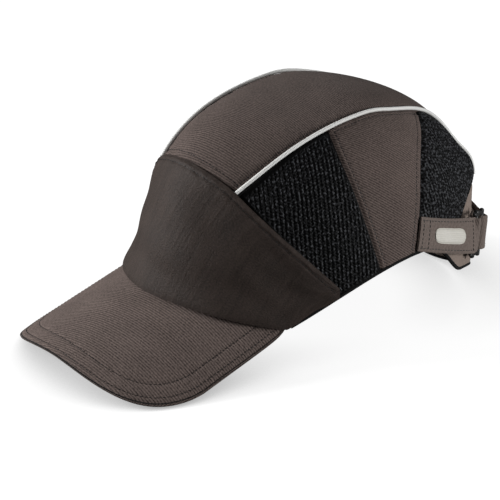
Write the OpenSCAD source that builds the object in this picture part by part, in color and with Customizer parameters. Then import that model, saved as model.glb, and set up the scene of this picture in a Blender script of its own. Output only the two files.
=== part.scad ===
// Bump cap: a textile baseball-style cover over a removable hard shell insert.
// Origin: centre of the head opening, on the plane that the cap rests on. +X is the wearer's
// left, -Y is the front, +Z is up. Angles round the head: -90 front, 0 left ear, 90 back.

/* [Dome] */
// Half of the cover's width where the dome starts
dome_half_width = 95.5; // [94.5:0.5:96.5]
// Reach of the dome in front of the origin
dome_front = 119.5; // [118.5:0.5:120.5]
// Reach of the nape behind the origin
dome_back = 105; // [104.5:0.5:106]
// Height of the dome over its own base
dome_height = 131.5; // [130.5:0.5:132.5]
// Roundness of the dome's plan, where 2 is an ellipse
plan_power = 1.85; // [1.8:0.01:1.9]
// Thickness of the cover's fabric
fabric = 1.4; // [1.2:0.1:1.5]

/* [Rim] */
// Height of the rim over the ears
rim_ear_z = 53; // [52:0.2:53.6]
// Height of the rim at the middle of the nape
rim_nape_z = 2; // [1.9:0.1:4]

/* [Peak] */
// Reach of the peak's front edge in front of the origin
peak_reach = 173.7; // [166:0.1:176]
// Half of the peak's width
peak_half_width = 68.4; // [67:0.1:70]
// Height of the peak where it meets the middle of the front
peak_root_z = 34.9; // [34.8:0.1:35.4]
// Fall of the peak towards its front edge, per unit of length
peak_fall = 0.295; // [0.285:0.005:0.295]
// Sideways curl of the peak
peak_curl = 0.00578; // [0.0056:0.00002:0.00578]
// Thickness of the board inside the peak
peak_board_t = 1.7; // [1.4:0.1:1.7]

/* [Strap and buckle] */
// Width of the closure straps
strap_width = 20; // [18:0.5:21]
// Thickness of the strap webbing
strap_t = 1.4; // [1.2:0.1:1.5]
// Distance between the buckle's two bars
bar_pitch = 13; // [12:0.5:14]
// Radius of the buckle's bars
bar_r = 1.5; // [1.3:0.1:1.6]

/* [Insert] */
// Thickness of the hard shell
shell_t = 2; // [1.8:0.1:2.2]
// Thickness of the foam pads
pad_t = 4; // [3:0.5:5]

/* [Hidden] */

taupe = [0.33, 0.29, 0.27];
dark_taupe = [0.25, 0.22, 0.21];
mesh_black = [0.06, 0.06, 0.07];
silver = [0.75, 0.75, 0.74];
foam_grey = [0.45, 0.46, 0.48];

// The dome is a stack of superellipses. Each of its four outlines (left, front, back and
// height) is one Bezier curve in t, from the base (0) to the top (1). Control values are
// [base, second, third], and the fourth is the dome's axis or its height.
dome_y = 14.6;                      // the dome's axis stands behind the origin
dome_z0 = 2;                        // its base stands over the resting plane
shoulder_z = 99;
side_form = [dome_half_width, dome_half_width - 26.5, 71.5];
front_form = [dome_front + dome_y, dome_front + dome_y - 25, 108];
cover_back_form = [dome_back - dome_y, dome_back - dome_y + 42, 34.5];
insert_back_form = [dome_back - dome_y, dome_back - dome_y + 21.6, 36];

shell_out = 3.2;                    // depth of the insert below the cover's outer face
pad_out = shell_out + shell_t + 0.6;
peak_cloth_t = 0.7;
peak_gap = 0.15;
peak_start = 38.8;                  // the peak's ends stand this far either side of the ears

// ---------------------------------------------------------------- curves and surfaces
function bez(t, a, b, c, d) =
    a * pow(1 - t, 3) + 3 * b * t * pow(1 - t, 2) + 3 * c * t * t * (1 - t) + d * pow(t, 3);
function signed_pow(v, e) = sign(v) * pow(abs(v), e);
function mix(a, b, s) = a + (b - a) * s;
function smooth(a, b, v) = let(s = min(1, max(0, (v - a) / (b - a)))) s * s * (3 - 2 * s);
function unit(v) = v / norm(v);

// Root of a function that rises from lo to hi
function root(f, lo, hi, steps = 20) =
    let(m = (lo + hi) / 2)
    steps == 0 ? m : f(m) > 0 ? root(f, lo, m, steps - 1) : root(f, m, hi, steps - 1);

function height_at(t, depth = 0) =
    dome_z0 + bez(t, 0, shoulder_z, dome_height - depth, dome_height - depth);
function reach_at(t, form, depth = 0) = bez(t, form[0] - depth, form[1] - depth, form[2], 0);

// Point of the dome at an angle, for t up its outline and a depth below the outer face
function dome(angle, t, depth = 0, back_form = cover_back_form) =
    let(
        c = signed_pow(cos(angle), 2 / plan_power),
        s = signed_pow(sin(angle), 2 / plan_power),
        length_form = s < 0 ? front_form : back_form
    )
    [reach_at(t, side_form, depth) * c, dome_y + reach_at(t, length_form, depth) * s,
        height_at(t, depth)];

function t_of_z(z, depth = 0) = root(function(t) height_at(t, depth) - z, -0.1, 1);

// Less than 0 inside the dome, more outside
function dome_side(p, depth = 0) =
    let(
        t = t_of_z(p.z, depth),
        form = p.y < dome_y ? front_form : cover_back_form,
        w = max(reach_at(t, side_form, depth), 0.01),
        l = max(reach_at(t, form, depth), 0.01)
    )
    pow(abs(p.x) / w, plan_power) + pow(abs(p.y - dome_y) / l, plan_power) - 1;

// [angle, t] of a point on the dome's outer face
function to_dome(p) =
    let(
        t = t_of_z(p.z),
        form = p.y < dome_y ? front_form : cover_back_form,
        c = signed_pow(p.x / reach_at(t, side_form), plan_power / 2),
        s = signed_pow((p.y - dome_y) / reach_at(t, form), plan_power / 2)
    )
    [atan2(s, c), t];

// The crown is measured by x and by an arc angle in the fore-and-aft plane, from a centre
// inside the head: 146 or so at the front seam, 90 at the top, 13 or so at the back.
arc_y = 10.5;
arc_z = 44;
function crown_point(x, arc, depth = 0) =
    let(
        at = function(r) [x, arc_y + r * cos(arc), arc_z + r * sin(arc)],
        r = root(function(r) dome_side(at(r), depth), 15, 150)
    )
    at(r);
function arc_of(p) = atan2(p.z - arc_z, p.y - arc_y);

// ---------------------------------------------------------------- rim and peak
// Upper face of the peak, a sheet that falls forwards and curls down at its sides
function peak_z(x, y) = peak_root_z + peak_fall * (y + dome_front) - peak_curl * x * x;

function rim_t_front(angle) =
    root(function(t) let(p = dome(angle, t)) p.z - peak_z(p.x, p.y), -0.1, 0.6);
peak_end_z = height_at(rim_t_front(-peak_start));

// The rim rises from the peak's end to the ear, and falls again in two steps to the nape
function rim_z_side(angle) =
    angle < 4
        ? peak_end_z + (rim_ear_z - peak_end_z) * sin(90 * (angle + peak_start) / (4 + peak_start))
        : mix(rim_ear_z, rim_nape_z, 0.41 * smooth(12, 30, angle) + 0.59 * smooth(18, 90, angle));

// Every angle is folded onto the left half first, because the cap is symmetrical
function left_angle(angle) = angle > 90 ? 180 - angle : angle < -90 ? -180 - angle : angle;
function rim_t(angle) =
    let(a = left_angle(angle))
    a < -peak_start ? rim_t_front(a) : t_of_z(rim_z_side(a));
function rim_z(angle) = height_at(rim_t(angle));

// ---------------------------------------------------------------- seams
// All seams are curves of [angle, t] on the left half of the dome, for s from 0 to 1.
// Front seam: a plane through the dome that leans back, with a slight sag
front_lean = 1.364;
front_sag = 3.5;
front_sag_x = [31, 77];             // the sag lies between these distances from the middle
function front_seam_t(angle) =
    root(function(t)
        let(
            p = dome(angle, t),
            across = (abs(p.x) - front_sag_x[0]) / (front_sag_x[1] - front_sag_x[0])
        )
        p.z - dome_z0 + front_lean * p.y + 2 + front_sag * max(0, sin(180 * across)), 0, 0.8);
corner_front = -24.2;               // angle of the front panel's rear corner
corner_piping = -56.8;              // angle where the piping meets the front seam
front_seam = function(s)
    let(a = mix(corner_front, corner_piping, s)) [a, front_seam_t(a)];

// Piping: a line that keeps its distance from the middle, and draws in at the back
piping_end_arc = 13;
piping_start = crown_arc_start();
function crown_arc_start() = let(c = front_seam(1)) arc_of(dome(c[0], c[1]));
function piping_x(arc) =
    41.5 - 6.6 * pow(max(0, arc - 95) / 51, 4) - 15 * smooth(78, 34, arc) + 10 * smooth(32, 12, arc);
piping_at = function(arc) crown_point(piping_x(arc), arc);

// Side seams: the first is straight on the dome, the second bends back as it climbs
seam1_foot = -10.8;
seam1_top_arc = 106;
seam2_foot = 4.6;
seam2_top_arc = 54;
seam2_lean = 20;
seam1 = function(s)
    mix([seam1_foot, rim_t(seam1_foot)], to_dome(piping_at(seam1_top_arc)), s);
seam2 = function(s)
    let(top = to_dome(piping_at(seam2_top_arc)), bend = top[0] - seam2_foot - seam2_lean)
    [seam2_foot + seam2_lean * s + bend * pow(s, 6), mix(rim_t(seam2_foot), top[1], s)];

// Nape seam: from the rim behind the ear up to the end of the piping
nape_foot = 21;
nape_top = to_dome(piping_at(piping_end_arc));
nape_seam = function(s)
    let(foot = [nape_foot, rim_t(nape_foot)])
    [mix(foot[0], nape_top[0], s), mix(foot[1], nape_top[1], s * (1.8 - 0.8 * s))];

function rim_run(a, b) = function(s) let(angle = mix(a, b, s)) [angle, rim_t(angle)];
function piping_run(a, b) = function(s) to_dome(piping_at(mix(a, b, s)));

// ---------------------------------------------------------------- solids from sheets
// Surface patch that fills four edge curves. foot and top run along u, start and end along v.
function fill(foot, top, start, end) = function(u, v)
    mix(foot(u), top(u), v) + mix(start(v), end(v), u)
        - mix(mix(foot(0), foot(1), u), mix(top(0), top(1), u), v);

// Closed solid between two sheets of points, sheet(u, v, side), where side 0 is the outer face
module sheet_solid(sheet, nu, nv, margin_u = 0, margin_v = 0) {
    function at(i, m, n) = mix(m, 1 - m, i / n);
    function id(i, j, side) = (side * (nu + 1) + i) * (nv + 1) + j;
    points = [for (side = [0, 1], i = [0 : nu], j = [0 : nv])
        sheet(at(i, margin_u, nu), at(j, margin_v, nv), side)];
    outer = [for (i = [0 : nu - 1], j = [0 : nv - 1], half = [0, 1]) half == 0
        ? [id(i, j, 0), id(i, j + 1, 0), id(i + 1, j + 1, 0)]
        : [id(i, j, 0), id(i + 1, j + 1, 0), id(i + 1, j, 0)]];
    inner = [for (i = [0 : nu - 1], j = [0 : nv - 1], half = [0, 1]) half == 0
        ? [id(i, j, 1), id(i + 1, j + 1, 1), id(i, j + 1, 1)]
        : [id(i, j, 1), id(i + 1, j, 1), id(i + 1, j + 1, 1)]];
    ends = [for (j = [0 : nv - 1]) each [
        [id(0, j, 0), id(0, j, 1), id(0, j + 1, 1)],
        [id(0, j, 0), id(0, j + 1, 1), id(0, j + 1, 0)],
        [id(nu, j, 0), id(nu, j + 1, 1), id(nu, j, 1)],
        [id(nu, j, 0), id(nu, j + 1, 0), id(nu, j + 1, 1)]]];
    sides = [for (i = [0 : nu - 1]) each [
        [id(i, 0, 0), id(i + 1, 0, 1), id(i, 0, 1)],
        [id(i, 0, 0), id(i + 1, 0, 0), id(i + 1, 0, 1)],
        [id(i, nv, 0), id(i, nv, 1), id(i + 1, nv, 1)],
        [id(i, nv, 0), id(i + 1, nv, 1), id(i + 1, nv, 0)]]];
    polyhedron(points, concat(outer, inner, ends, sides), convexity = 6);
}

// Panel of fabric on the dome, filled between its seams
module panel(foot, top, start, end, nu, nv, margin_u, margin_v, depths = [0, fabric]) {
    patch = fill(foot, top, start, end);
    sheet_solid(function(u, v, side) let(q = patch(u, v)) dome(q[0], q[1], depths[side]),
        nu, nv, margin_u, margin_v);
}

module other_side() {
    mirror([1, 0, 0]) children();
}

// ---------------------------------------------------------------- cover panels
module front_panel() {
    color(dark_taupe) panel(
        rim_run(corner_front, -180 - corner_front),
        function(s) let(a = mix(corner_front, -180 - corner_front, s)) [a, front_seam_t(a)],
        function(s) [corner_front, mix(rim_t(corner_front), front_seam_t(corner_front), s)],
        function(s) [-180 - corner_front, mix(rim_t(corner_front), front_seam_t(corner_front), s)],
        22, 8, 0.004, 0.006);
}

module crown_panel() {
    front_edge = function(u)
        let(a = mix(corner_piping, -180 - corner_piping, u), p = dome(a, front_seam_t(a)))
        [p.x, arc_of(p)];
    back_edge = function(u)
        let(p = dome(mix(nape_top[0], 180 - nape_top[0], u), nape_top[1])) [p.x, arc_of(p)];
    edge = function(side) function(v)
        let(arc = mix(piping_start, piping_end_arc, v)) [side * piping_x(arc), arc];
    patch = fill(front_edge, back_edge, edge(1), edge(-1));
    color(taupe) sheet_solid(function(u, v, side)
        let(q = patch(u, v)) crown_point(q[0], q[1], side * fabric), 10, 18, 0.008, 0.003);
}

// The mesh runs down beside the front panel's blunt corner, then along the front seam
module mesh_front_left() {
    blunt = 0.11;
    front_edge = function(s) s < blunt
        ? [corner_front, mix(rim_t(corner_front), front_seam_t(corner_front), s / blunt)]
        : front_seam((s - blunt) / (1 - blunt));
    color(mesh_black) panel(rim_run(corner_front, seam1_foot),
        piping_run(piping_start, seam1_top_arc), front_edge, seam1, 7, 9, 0.012, 0.006);
}

module side_panel_left() {
    color(taupe) panel(rim_run(seam1_foot, seam2_foot), piping_run(seam1_top_arc, seam2_top_arc),
        seam1, seam2, 7, 10, 0.012, 0.006);
}

module mesh_rear_left() {
    color(mesh_black) panel(rim_run(seam2_foot, nape_foot), piping_run(seam2_top_arc, piping_end_arc),
        seam2, nape_seam, 8, 10, 0.012, 0.006);
}

module nape_panel() {
    nape_seam_right = function(s) let(q = nape_seam(s)) [180 - q[0], q[1]];
    top = function(s) [mix(nape_top[0], 180 - nape_top[0], s), nape_top[1]];
    color(taupe) panel(rim_run(nape_foot, 180 - nape_foot), top, nape_seam, nape_seam_right,
        20, 6, 0.004, 0.006);
}

module mesh_front_right() {
    other_side() mesh_front_left();
}

module side_panel_right() {
    other_side() side_panel_left();
}

module mesh_rear_right() {
    other_side() mesh_rear_left();
}

// Cord that stands on the seam between crown and sides
module piping_left() {
    cord_r = 1.3;
    cord_lift = 1.7;
    centre = [0, arc_y, 27];
    color(silver) sheet_solid(function(u, v, side)
        let(
            arc = mix(piping_start - 0.6, piping_end_arc + 1, u),
            p = piping_at(arc),
            along = unit(piping_at(arc - 0.5) - piping_at(arc + 0.5)),
            out = unit(cross(along, cross(p - centre, along))),
            across = cross(along, out),
            middle = p + out * cord_lift,
            turn = side == 0 ? mix(165, 15, v) : mix(195, 345, v)
        )
        middle + cord_r * (cos(turn) * across + sin(turn) * out), 34, 3);
}

module piping_right() {
    other_side() piping_left();
}

// Binding tape round the free edge of the rim, from one end of the peak round the nape
module rim_binding() {
    start = -peak_start + 2.2;
    tape_w = 1.3;
    color(mesh_black) sheet_solid(function(u, v, side)
        let(a = mix(start, 180 - start, u), z = rim_z(a) - mix(tape_w, 0, v) - 0.3)
        dome(a, t_of_z(z), side == 0 ? -0.5 : 1.9), 64, 1);
}

// ---------------------------------------------------------------- peak
// The peak's front edge is half of a superellipse, whose ends are the peak's front corners
peak_power = 2.59;
peak_side_y = -115.3;

// Point of the peak in plan: v is 0 on the rim of the dome and 1 on the peak's edge
function peak_plan(u, v, inset) =
    let(
        angle = mix(-peak_start - 0.6, -180 + peak_start + 0.6, u),
        rim = dome(angle, rim_t(angle), 0.8),
        turn = mix(-3, -177, u),
        edge = [
            (peak_half_width - inset) * signed_pow(cos(turn), 2 / peak_power),
            peak_side_y + (peak_reach - inset + peak_side_y) * signed_pow(sin(turn), 2 / peak_power)
        ]
    )
    mix([rim.x, rim.y], edge, v);

module peak_layer(depth, thickness, inset) {
    sheet_solid(function(u, v, side)
        let(p = peak_plan(u, v, inset)) [p.x, p.y, peak_z(p.x, p.y) - depth - side * thickness], 30, 6);
}

module peak_cover_top() {
    color(taupe) peak_layer(0.5, peak_cloth_t, 0);
}

module peak_board() {
    color("dimgray") peak_layer(0.5 + peak_cloth_t + peak_gap, peak_board_t, 2.5);
}

module peak_cover_under() {
    color(taupe) peak_layer(0.5 + peak_cloth_t + peak_board_t + 2 * peak_gap, peak_cloth_t, 0);
}

// ---------------------------------------------------------------- strap, buckle and tail
// Middle line of the straps: it passes through strap_mid (y and z) and falls towards the back
strap_mid = [26.2, 62.3];
strap_fall = 0.36;
strap_root = 5.6;                   // angle where the base strap is sewn into the side seam
function strap_z(angle) =
    root(function(z)
        let(p = dome(angle, t_of_z(z)))
        z - strap_mid[1] + strap_fall * (p.y - strap_mid[0]), 7, 77);
function strap_point(angle, lift, up = 0) = dome(angle, t_of_z(strap_z(angle) + up), -lift);

// The buckle's inner bar, and the direction of the strap there
bar_angle = 36;
bar_lift = 6.4;
buckle_dir = unit(strap_point(bar_angle + 7, bar_lift) - strap_point(bar_angle - 1, bar_lift));
buckle_yaw = atan2(buckle_dir.y, buckle_dir.x);
buckle_tip = asin(-buckle_dir.z);
inner_bar = strap_point(bar_angle, bar_lift);
outer_bar = inner_bar + bar_pitch * buckle_dir;
outer_angle = to_dome(outer_bar)[0];
outer_lift = norm(outer_bar - strap_point(outer_angle, 0));
loop_in = bar_r + 0.4;

// Puts children in the buckle's frame: x along the strap, -y away from the head, z up the bar
module at_bar(point) {
    translate(point) rotate([0, buckle_tip, buckle_yaw]) children();
}

// Half sleeve of webbing round a bar, with a short straight tab on the side away from the
// head. side is 1 where the tab points along +x, and -1 where it points along -x
sleeve_tab = 6;
module strap_sleeve(side) {
    rotate([0, 0, side > 0 ? 90 : 270]) translate([0, 0, -strap_width / 2])
        rotate_extrude(angle = 180, $fn = 48)
            translate([loop_in, 0]) square([strap_t, strap_width]);
    translate([side * (sleeve_tab / 2 - 0.1), -loop_in - strap_t / 2, 0])
        cube([sleeve_tab + 0.2, strap_t, strap_width], center = true);
}

// Band of webbing on the dome between two angles. lift(angle) is its inner face's distance
module strap_band(from, to, lift, thickness, width, n) {
    sheet_solid(function(u, v, side)
        let(a = mix(from, to, u))
        strap_point(a, lift(a) + (1 - side) * thickness, mix(-0.5, 0.5, v) * width), n, 2);
}

function base_lift(angle) = mix(0.7, bar_lift + loop_in, smooth(12, bar_angle - 1, angle));

module strap_base() {
    color(taupe) {
        strap_band(strap_root, bar_angle - 1, function(a) base_lift(a), strap_t, strap_width, 14);
        at_bar(inner_bar) strap_sleeve(-1);
    }
}

// Plain reflective tab on the outside of the strap
module strap_tab() {
    color([0.85, 0.84, 0.8]) strap_band(13.5, 27, function(a) base_lift(a) + strap_t + 0.25, 0.5, 9, 6);
}

module closure_strap() {
    color(taupe) strap_band(outer_angle + 2.8, 173, function(a) 0.7, strap_t, strap_width, 24);
}

patch_lift = 0.7 + strap_t + 0.25;
module loop_patch() {
    color("black") strap_band(66, 112, function(a) patch_lift, 0.9, strap_width - 4, 12);
}

module buckle() {
    frame_h = strap_width + 1.6;
    rail = 2.2;
    bar_end = 1.3;
    color([0.07, 0.07, 0.07]) {
        for (bar = [inner_bar, outer_bar])
            at_bar(bar)
                cylinder(r = bar_r, h = frame_h + 2 * (rail + bar_end), center = true, $fn = 40);
        for (side = [-1, 1])
            at_bar(inner_bar) translate([bar_pitch / 2, 0, side * (frame_h + rail) / 2])
                cube([bar_pitch + 2 * bar_r, 2 * bar_r, rail], center = true);
    }
}

function tail_lift(angle) =
    mix(outer_lift + loop_in, patch_lift + 2.1, smooth(outer_angle + 2, outer_angle + 18, angle));
tail_end = 100;

module strap_tail() {
    color(taupe) {
        strap_band(outer_angle + 2.7, tail_end, function(a) tail_lift(a), strap_t, strap_width, 18);
        at_bar(outer_bar) strap_sleeve(1);
    }
}

module hook_patch() {
    hook_lift = patch_lift + 1.05;
    color("black") strap_band(72, tail_end - 2, function(a) hook_lift, 0.8, strap_width - 4, 10);
}

// ---------------------------------------------------------------- insert
// Lower edge of the hard shell, higher at the back than over the forehead
function shell_edge_z(angle) = 61.6 + 11 * sin(angle);

// Closed cap of the dome: depths[0] is its outer face. Its lowest ring is at foot_t(angle)
module dome_cap(foot_t, depths, n_round, n_up) {
    function ring(side, j) = [for (i = [0 : n_round - 1])
        let(a = 360 * i / n_round, t = mix(foot_t(a), 0.985, j / n_up))
        dome(a, t, depths[side], insert_back_form)];
    function id(side, j, i) = (side * (n_up + 1) + j) * n_round + i % n_round;
    pole = 2 * (n_up + 1) * n_round;
    points = concat([for (side = [0, 1], j = [0 : n_up]) each ring(side, j)],
        [for (side = [0, 1]) dome(0, 1, depths[side], insert_back_form)]);
    walls = [for (side = [0, 1], j = [0 : n_up - 1], i = [0 : n_round - 1], half = [0, 1])
        let(
            a = id(side, j, i),
            b = id(side, j, i + 1),
            c = id(side, j + 1, i + 1),
            d = id(side, j + 1, i),
            face = half == 0 ? [a, d, c] : [a, c, b]
        )
        side == 0 ? face : [face[2], face[1], face[0]]];
    tops = [for (side = [0, 1], i = [0 : n_round - 1])
        let(a = id(side, n_up, i), b = id(side, n_up, i + 1))
        side == 0 ? [a, pole, b] : [b, pole + 1, a]];
    rims = [for (i = [0 : n_round - 1], half = [0, 1])
        let(a = id(0, 0, i), b = id(0, 0, i + 1), c = id(1, 0, i + 1), d = id(1, 0, i))
        half == 0 ? [a, b, c] : [a, c, d]];
    polyhedron(points, concat(walls, tops, rims), convexity = 6);
}

// Slot with round ends, cut through both sides of the shell
module side_vent(y, z, length, width, lean) {
    translate([0, y, z]) rotate([lean, 0, 0]) {
        cube([220, width, length - width], center = true);
        for (end = [-1, 1])
            translate([0, 0, end * (length - width) / 2]) rotate([0, 90, 0])
                cylinder(d = width, h = 220, center = true, $fn = 32);
    }
}

module hard_shell() {
    vent_z = 85.6;
    color([0.12, 0.12, 0.13]) difference() {
        dome_cap(function(a) t_of_z(shell_edge_z(a)), [shell_out, shell_out + shell_t], 48, 9);
        for (y = [-34, -16, 2])
            side_vent(y, vent_z, 24, 7, 18);
        for (y = [38, 54])
            side_vent(y, vent_z, 20, 7, -18);
        for (x = [-22, 22], y = [-28, 4, 36])
            translate([x, y, vent_z + 10]) cylinder(d = 10, h = 60, $fn = 36);
    }
}

// Foam pad on the inside of the shell, between two angles and two heights over its edge
module shell_pad(from, to, low, high, n) {
    sheet_solid(function(u, v, side)
        let(a = mix(from, to, u))
        dome(a, t_of_z(shell_edge_z(a) + mix(low, high, v)), pad_out + side * pad_t, insert_back_form),
        n, 5);
}

module crown_pad() {
    color(foam_grey) dome_cap(function(a) 0.8, [pad_out, pad_out + pad_t], 32, 3);
}

module front_pad() {
    color(foam_grey) shell_pad(-52, -128, 10, 36, 12);
}

module side_pad_left() {
    color(foam_grey) shell_pad(34, -34, 10, 30, 10);
}

module side_pad_right() {
    other_side() side_pad_left();
}

module rear_pad() {
    color(foam_grey) shell_pad(122, 58, 10, 28, 10);
}

// Soft band that covers the shell's lower edge on the inside
module sweatband() {
    n = 48;
    band_t = 2.2;
    function point(i, low, side) =
        let(a = 360 * i / n)
        dome(a, t_of_z(shell_edge_z(a) + (low ? -7 : 8)), pad_out + side * band_t, insert_back_form);
    function id(i, k) = (i % n) * 4 + k;
    points = [for (i = [0 : n - 1]) each
        [point(i, true, 0), point(i, false, 0), point(i, false, 1), point(i, true, 1)]];
    color([0.1, 0.1, 0.11]) polyhedron(points, [for (i = [0 : n - 1], k = [0 : 3], half = [0, 1])
        half == 0
            ? [id(i, k), id(i, (k + 1) % 4), id(i + 1, (k + 1) % 4)]
            : [id(i, k), id(i + 1, (k + 1) % 4), id(i + 1, k)]], convexity = 6);
}

hard_shell();
crown_pad();
front_pad();
side_pad_left();
side_pad_right();
rear_pad();
sweatband();
front_panel();
crown_panel();
mesh_front_left();
mesh_front_right();
side_panel_left();
side_panel_right();
mesh_rear_left();
mesh_rear_right();
nape_panel();
piping_left();
piping_right();
rim_binding();
peak_board();
peak_cover_top();
peak_cover_under();
strap_base();
strap_tab();
closure_strap();
loop_patch();
buckle();
strap_tail();
hook_patch();
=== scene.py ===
"""Bump cap: the looks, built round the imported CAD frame. Lengths are in millimetres until a mesh is made."""
import math

import bpy
import numpy as np
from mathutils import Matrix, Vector


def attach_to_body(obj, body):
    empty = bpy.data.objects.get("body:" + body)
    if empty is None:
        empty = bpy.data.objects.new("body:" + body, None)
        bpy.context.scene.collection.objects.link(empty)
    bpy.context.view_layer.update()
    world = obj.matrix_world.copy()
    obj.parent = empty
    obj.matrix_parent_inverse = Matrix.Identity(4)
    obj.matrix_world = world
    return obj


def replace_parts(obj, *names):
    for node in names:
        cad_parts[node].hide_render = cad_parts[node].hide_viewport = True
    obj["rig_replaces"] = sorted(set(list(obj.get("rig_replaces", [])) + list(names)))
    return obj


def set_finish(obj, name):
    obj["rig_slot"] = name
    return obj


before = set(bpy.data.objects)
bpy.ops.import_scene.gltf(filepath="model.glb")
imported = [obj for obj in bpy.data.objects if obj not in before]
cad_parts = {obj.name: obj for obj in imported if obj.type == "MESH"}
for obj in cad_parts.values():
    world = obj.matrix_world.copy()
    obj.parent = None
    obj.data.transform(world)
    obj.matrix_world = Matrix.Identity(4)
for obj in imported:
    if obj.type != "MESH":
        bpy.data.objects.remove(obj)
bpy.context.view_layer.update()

MM = 0.001

# ------------------------------------------------------------------ the dome
# A stack of superellipses. Each outline is a Bezier curve in t, from the base (0) to the top (1).
PLAN_POWER = 1.85
DOME_Y, DOME_Z0 = 14.6, 2.0
DOME_HEIGHT, SHOULDER_Z = 131.5, 99.0
SIDE_FORM = (95.5, 69.0, 71.5)       # reach at the base and at the curve's two handles
FRONT_FORM = (134.1, 109.1, 108.0)
BACK_FORM = (90.4, 132.4, 34.5)
INSERT_BACK_FORM = (90.4, 112.0, 36.0)
ARC_Y, ARC_Z = 10.5, 44.0            # centre that the crown's arc angle is measured from
RAY = (15.0, 150.0)                  # shortest and longest distance from there to the dome
T_LOW, T_RIM_HIGH, T_SEAM_HIGH = -0.1, 0.6, 0.8
BISECTIONS = 26


def bez(t, a, b, c, d):
    return a * (1 - t) ** 3 + 3 * b * t * (1 - t) ** 2 + 3 * c * t * t * (1 - t) + d * t**3


def signed_pow(v, e):
    return np.sign(v) * np.abs(v) ** e


def mix(a, b, s):
    return a + (b - a) * s


def smooth(a, b, v):
    s = np.clip((v - a) / (b - a), 0, 1)
    return s * s * (3 - 2 * s)


def bell(v, width):
    return np.exp(-(v / width) ** 2)


def unit(v):
    return v / np.maximum(np.linalg.norm(v, axis=-1, keepdims=True), 1e-9)


def steps(n):
    return np.linspace(0, 1, n)


def circle(n):
    """Angles of n points round a circle, in radians."""
    return np.linspace(0, 2 * np.pi, n, endpoint=False)


def root(f, shape, low, high):
    """Root of f, which rises from low to high, for every element of an array of this shape."""
    low, high = np.full(shape, low), np.full(shape, high)
    for _ in range(BISECTIONS):
        middle = (low + high) / 2
        above = f(middle) > 0
        high = np.where(above, middle, high)
        low = np.where(above, low, middle)
    return (low + high) / 2


def height_at(t, depth=0.0):
    top = DOME_HEIGHT - depth
    return DOME_Z0 + bez(t, 0, SHOULDER_Z, top, top)


def reach_at(t, form, depth=0.0):
    return bez(t, form[0] - depth, form[1] - depth, form[2], 0)


def dome(angle, t, depth=0.0, back=BACK_FORM):
    """Point of the dome at an angle in plan and a height t, on a skin at this depth."""
    angle, t = np.broadcast_arrays(np.radians(np.asarray(angle, float)), np.asarray(t, float))
    c = signed_pow(np.cos(angle), 2 / PLAN_POWER)
    s = signed_pow(np.sin(angle), 2 / PLAN_POWER)
    length = np.where(s < 0, reach_at(t, FRONT_FORM, depth), reach_at(t, back, depth))
    return np.stack([reach_at(t, SIDE_FORM, depth) * c, DOME_Y + length * s, height_at(t, depth)], -1)


T_TABLE = np.linspace(T_LOW, 1, 6001)


def t_of_z(z):
    return np.interp(z, height_at(T_TABLE), T_TABLE)


def plan_ratio(p):
    """The point's height on the outline, and its x and y as shares of the dome's reach there."""
    t = t_of_z(p[..., 2])
    length = np.where(p[..., 1] < DOME_Y, reach_at(t, FRONT_FORM), reach_at(t, BACK_FORM))
    width = np.maximum(reach_at(t, SIDE_FORM), 0.01)
    return t, p[..., 0] / width, (p[..., 1] - DOME_Y) / np.maximum(length, 0.01)


def to_dome(p):
    t, a, b = plan_ratio(p)
    angle = np.arctan2(signed_pow(b, PLAN_POWER / 2), signed_pow(a, PLAN_POWER / 2))
    return np.stack([np.degrees(angle), t], -1)


def crown_point(x, arc):
    """Point of the dome at x, on a ray at an arc angle in the fore-and-aft plane."""
    x, arc = np.broadcast_arrays(np.asarray(x, float), np.radians(np.asarray(arc, float)))

    def at(r):
        return np.stack([x, ARC_Y + r * np.cos(arc), ARC_Z + r * np.sin(arc)], -1)

    def outside(r):
        _, a, b = plan_ratio(at(r))
        return np.abs(a) ** PLAN_POWER + np.abs(b) ** PLAN_POWER - 1

    return at(root(outside, x.shape, *RAY))


def arc_of(p):
    return np.degrees(np.arctan2(p[..., 2] - ARC_Z, p[..., 1] - ARC_Y))


# ------------------------------------------------------------------ rim, peak surface and seams
# An edge is a curve in (angle, t), and a function of s from 0 to 1. Angle 0 is the left side,
# -90 the front and 90 the back.
PEAK_START = 38.8                    # degrees in front of the side where the peak's seam begins
PEAK_ROOT_Z, PEAK_FALL, PEAK_CURL, PEAK_FRONT_Y = 34.9, 0.295, 0.00578, -119.5
PEAK_HALF_WIDTH, PEAK_REACH, PEAK_SIDE_Y, PEAK_POWER = 68.4, 173.7, -115.3, 2.59
RIM_EAR_Z, RIM_NAPE_Z = 53.0, 2.0
RIM_EAR = 4.0                        # angle where the rim is highest
RIM_FALLS = ((0.41, 12, 30), (0.59, 18, 90))     # shares of the fall to the nape, with their angles
CORNER_FRONT, CORNER_PIPING = -24.2, -56.8
FRONT_LEAN, FRONT_DROP = 1.364, 2.0
FRONT_SAG, FRONT_SAG_X = 3.5, (31, 77)
PIPING_X, PIPING_END_ARC = 41.5, 13.0
PIPING_FRONT = (6.6, 95, 51)         # narrowing in front, and the arc where it starts and its span
PIPING_BACK = (15, 78, 34)           # narrowing behind, and its first and last arc
PIPING_FOOT = (10, 32, 12)           # widening at the foot, and its first and last arc
SEAM1_FOOT, SEAM1_TOP_ARC = -10.8, 106.0
SEAM2_FOOT, SEAM2_TOP_ARC, SEAM2_LEAN = 4.6, 54.0, 20.0
NAPE_FOOT, NAPE_BOW = 21.0, 0.8


def peak_z(x, y):
    return PEAK_ROOT_Z + PEAK_FALL * (y - PEAK_FRONT_Y) - PEAK_CURL * x * x


def rim_t_front(angle):
    def over(t):
        p = dome(angle, t)
        return p[..., 2] - peak_z(p[..., 0], p[..., 1])

    return root(over, np.shape(angle), T_LOW, T_RIM_HIGH)


PEAK_END_Z = float(height_at(rim_t_front(np.array(-PEAK_START))))


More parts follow.
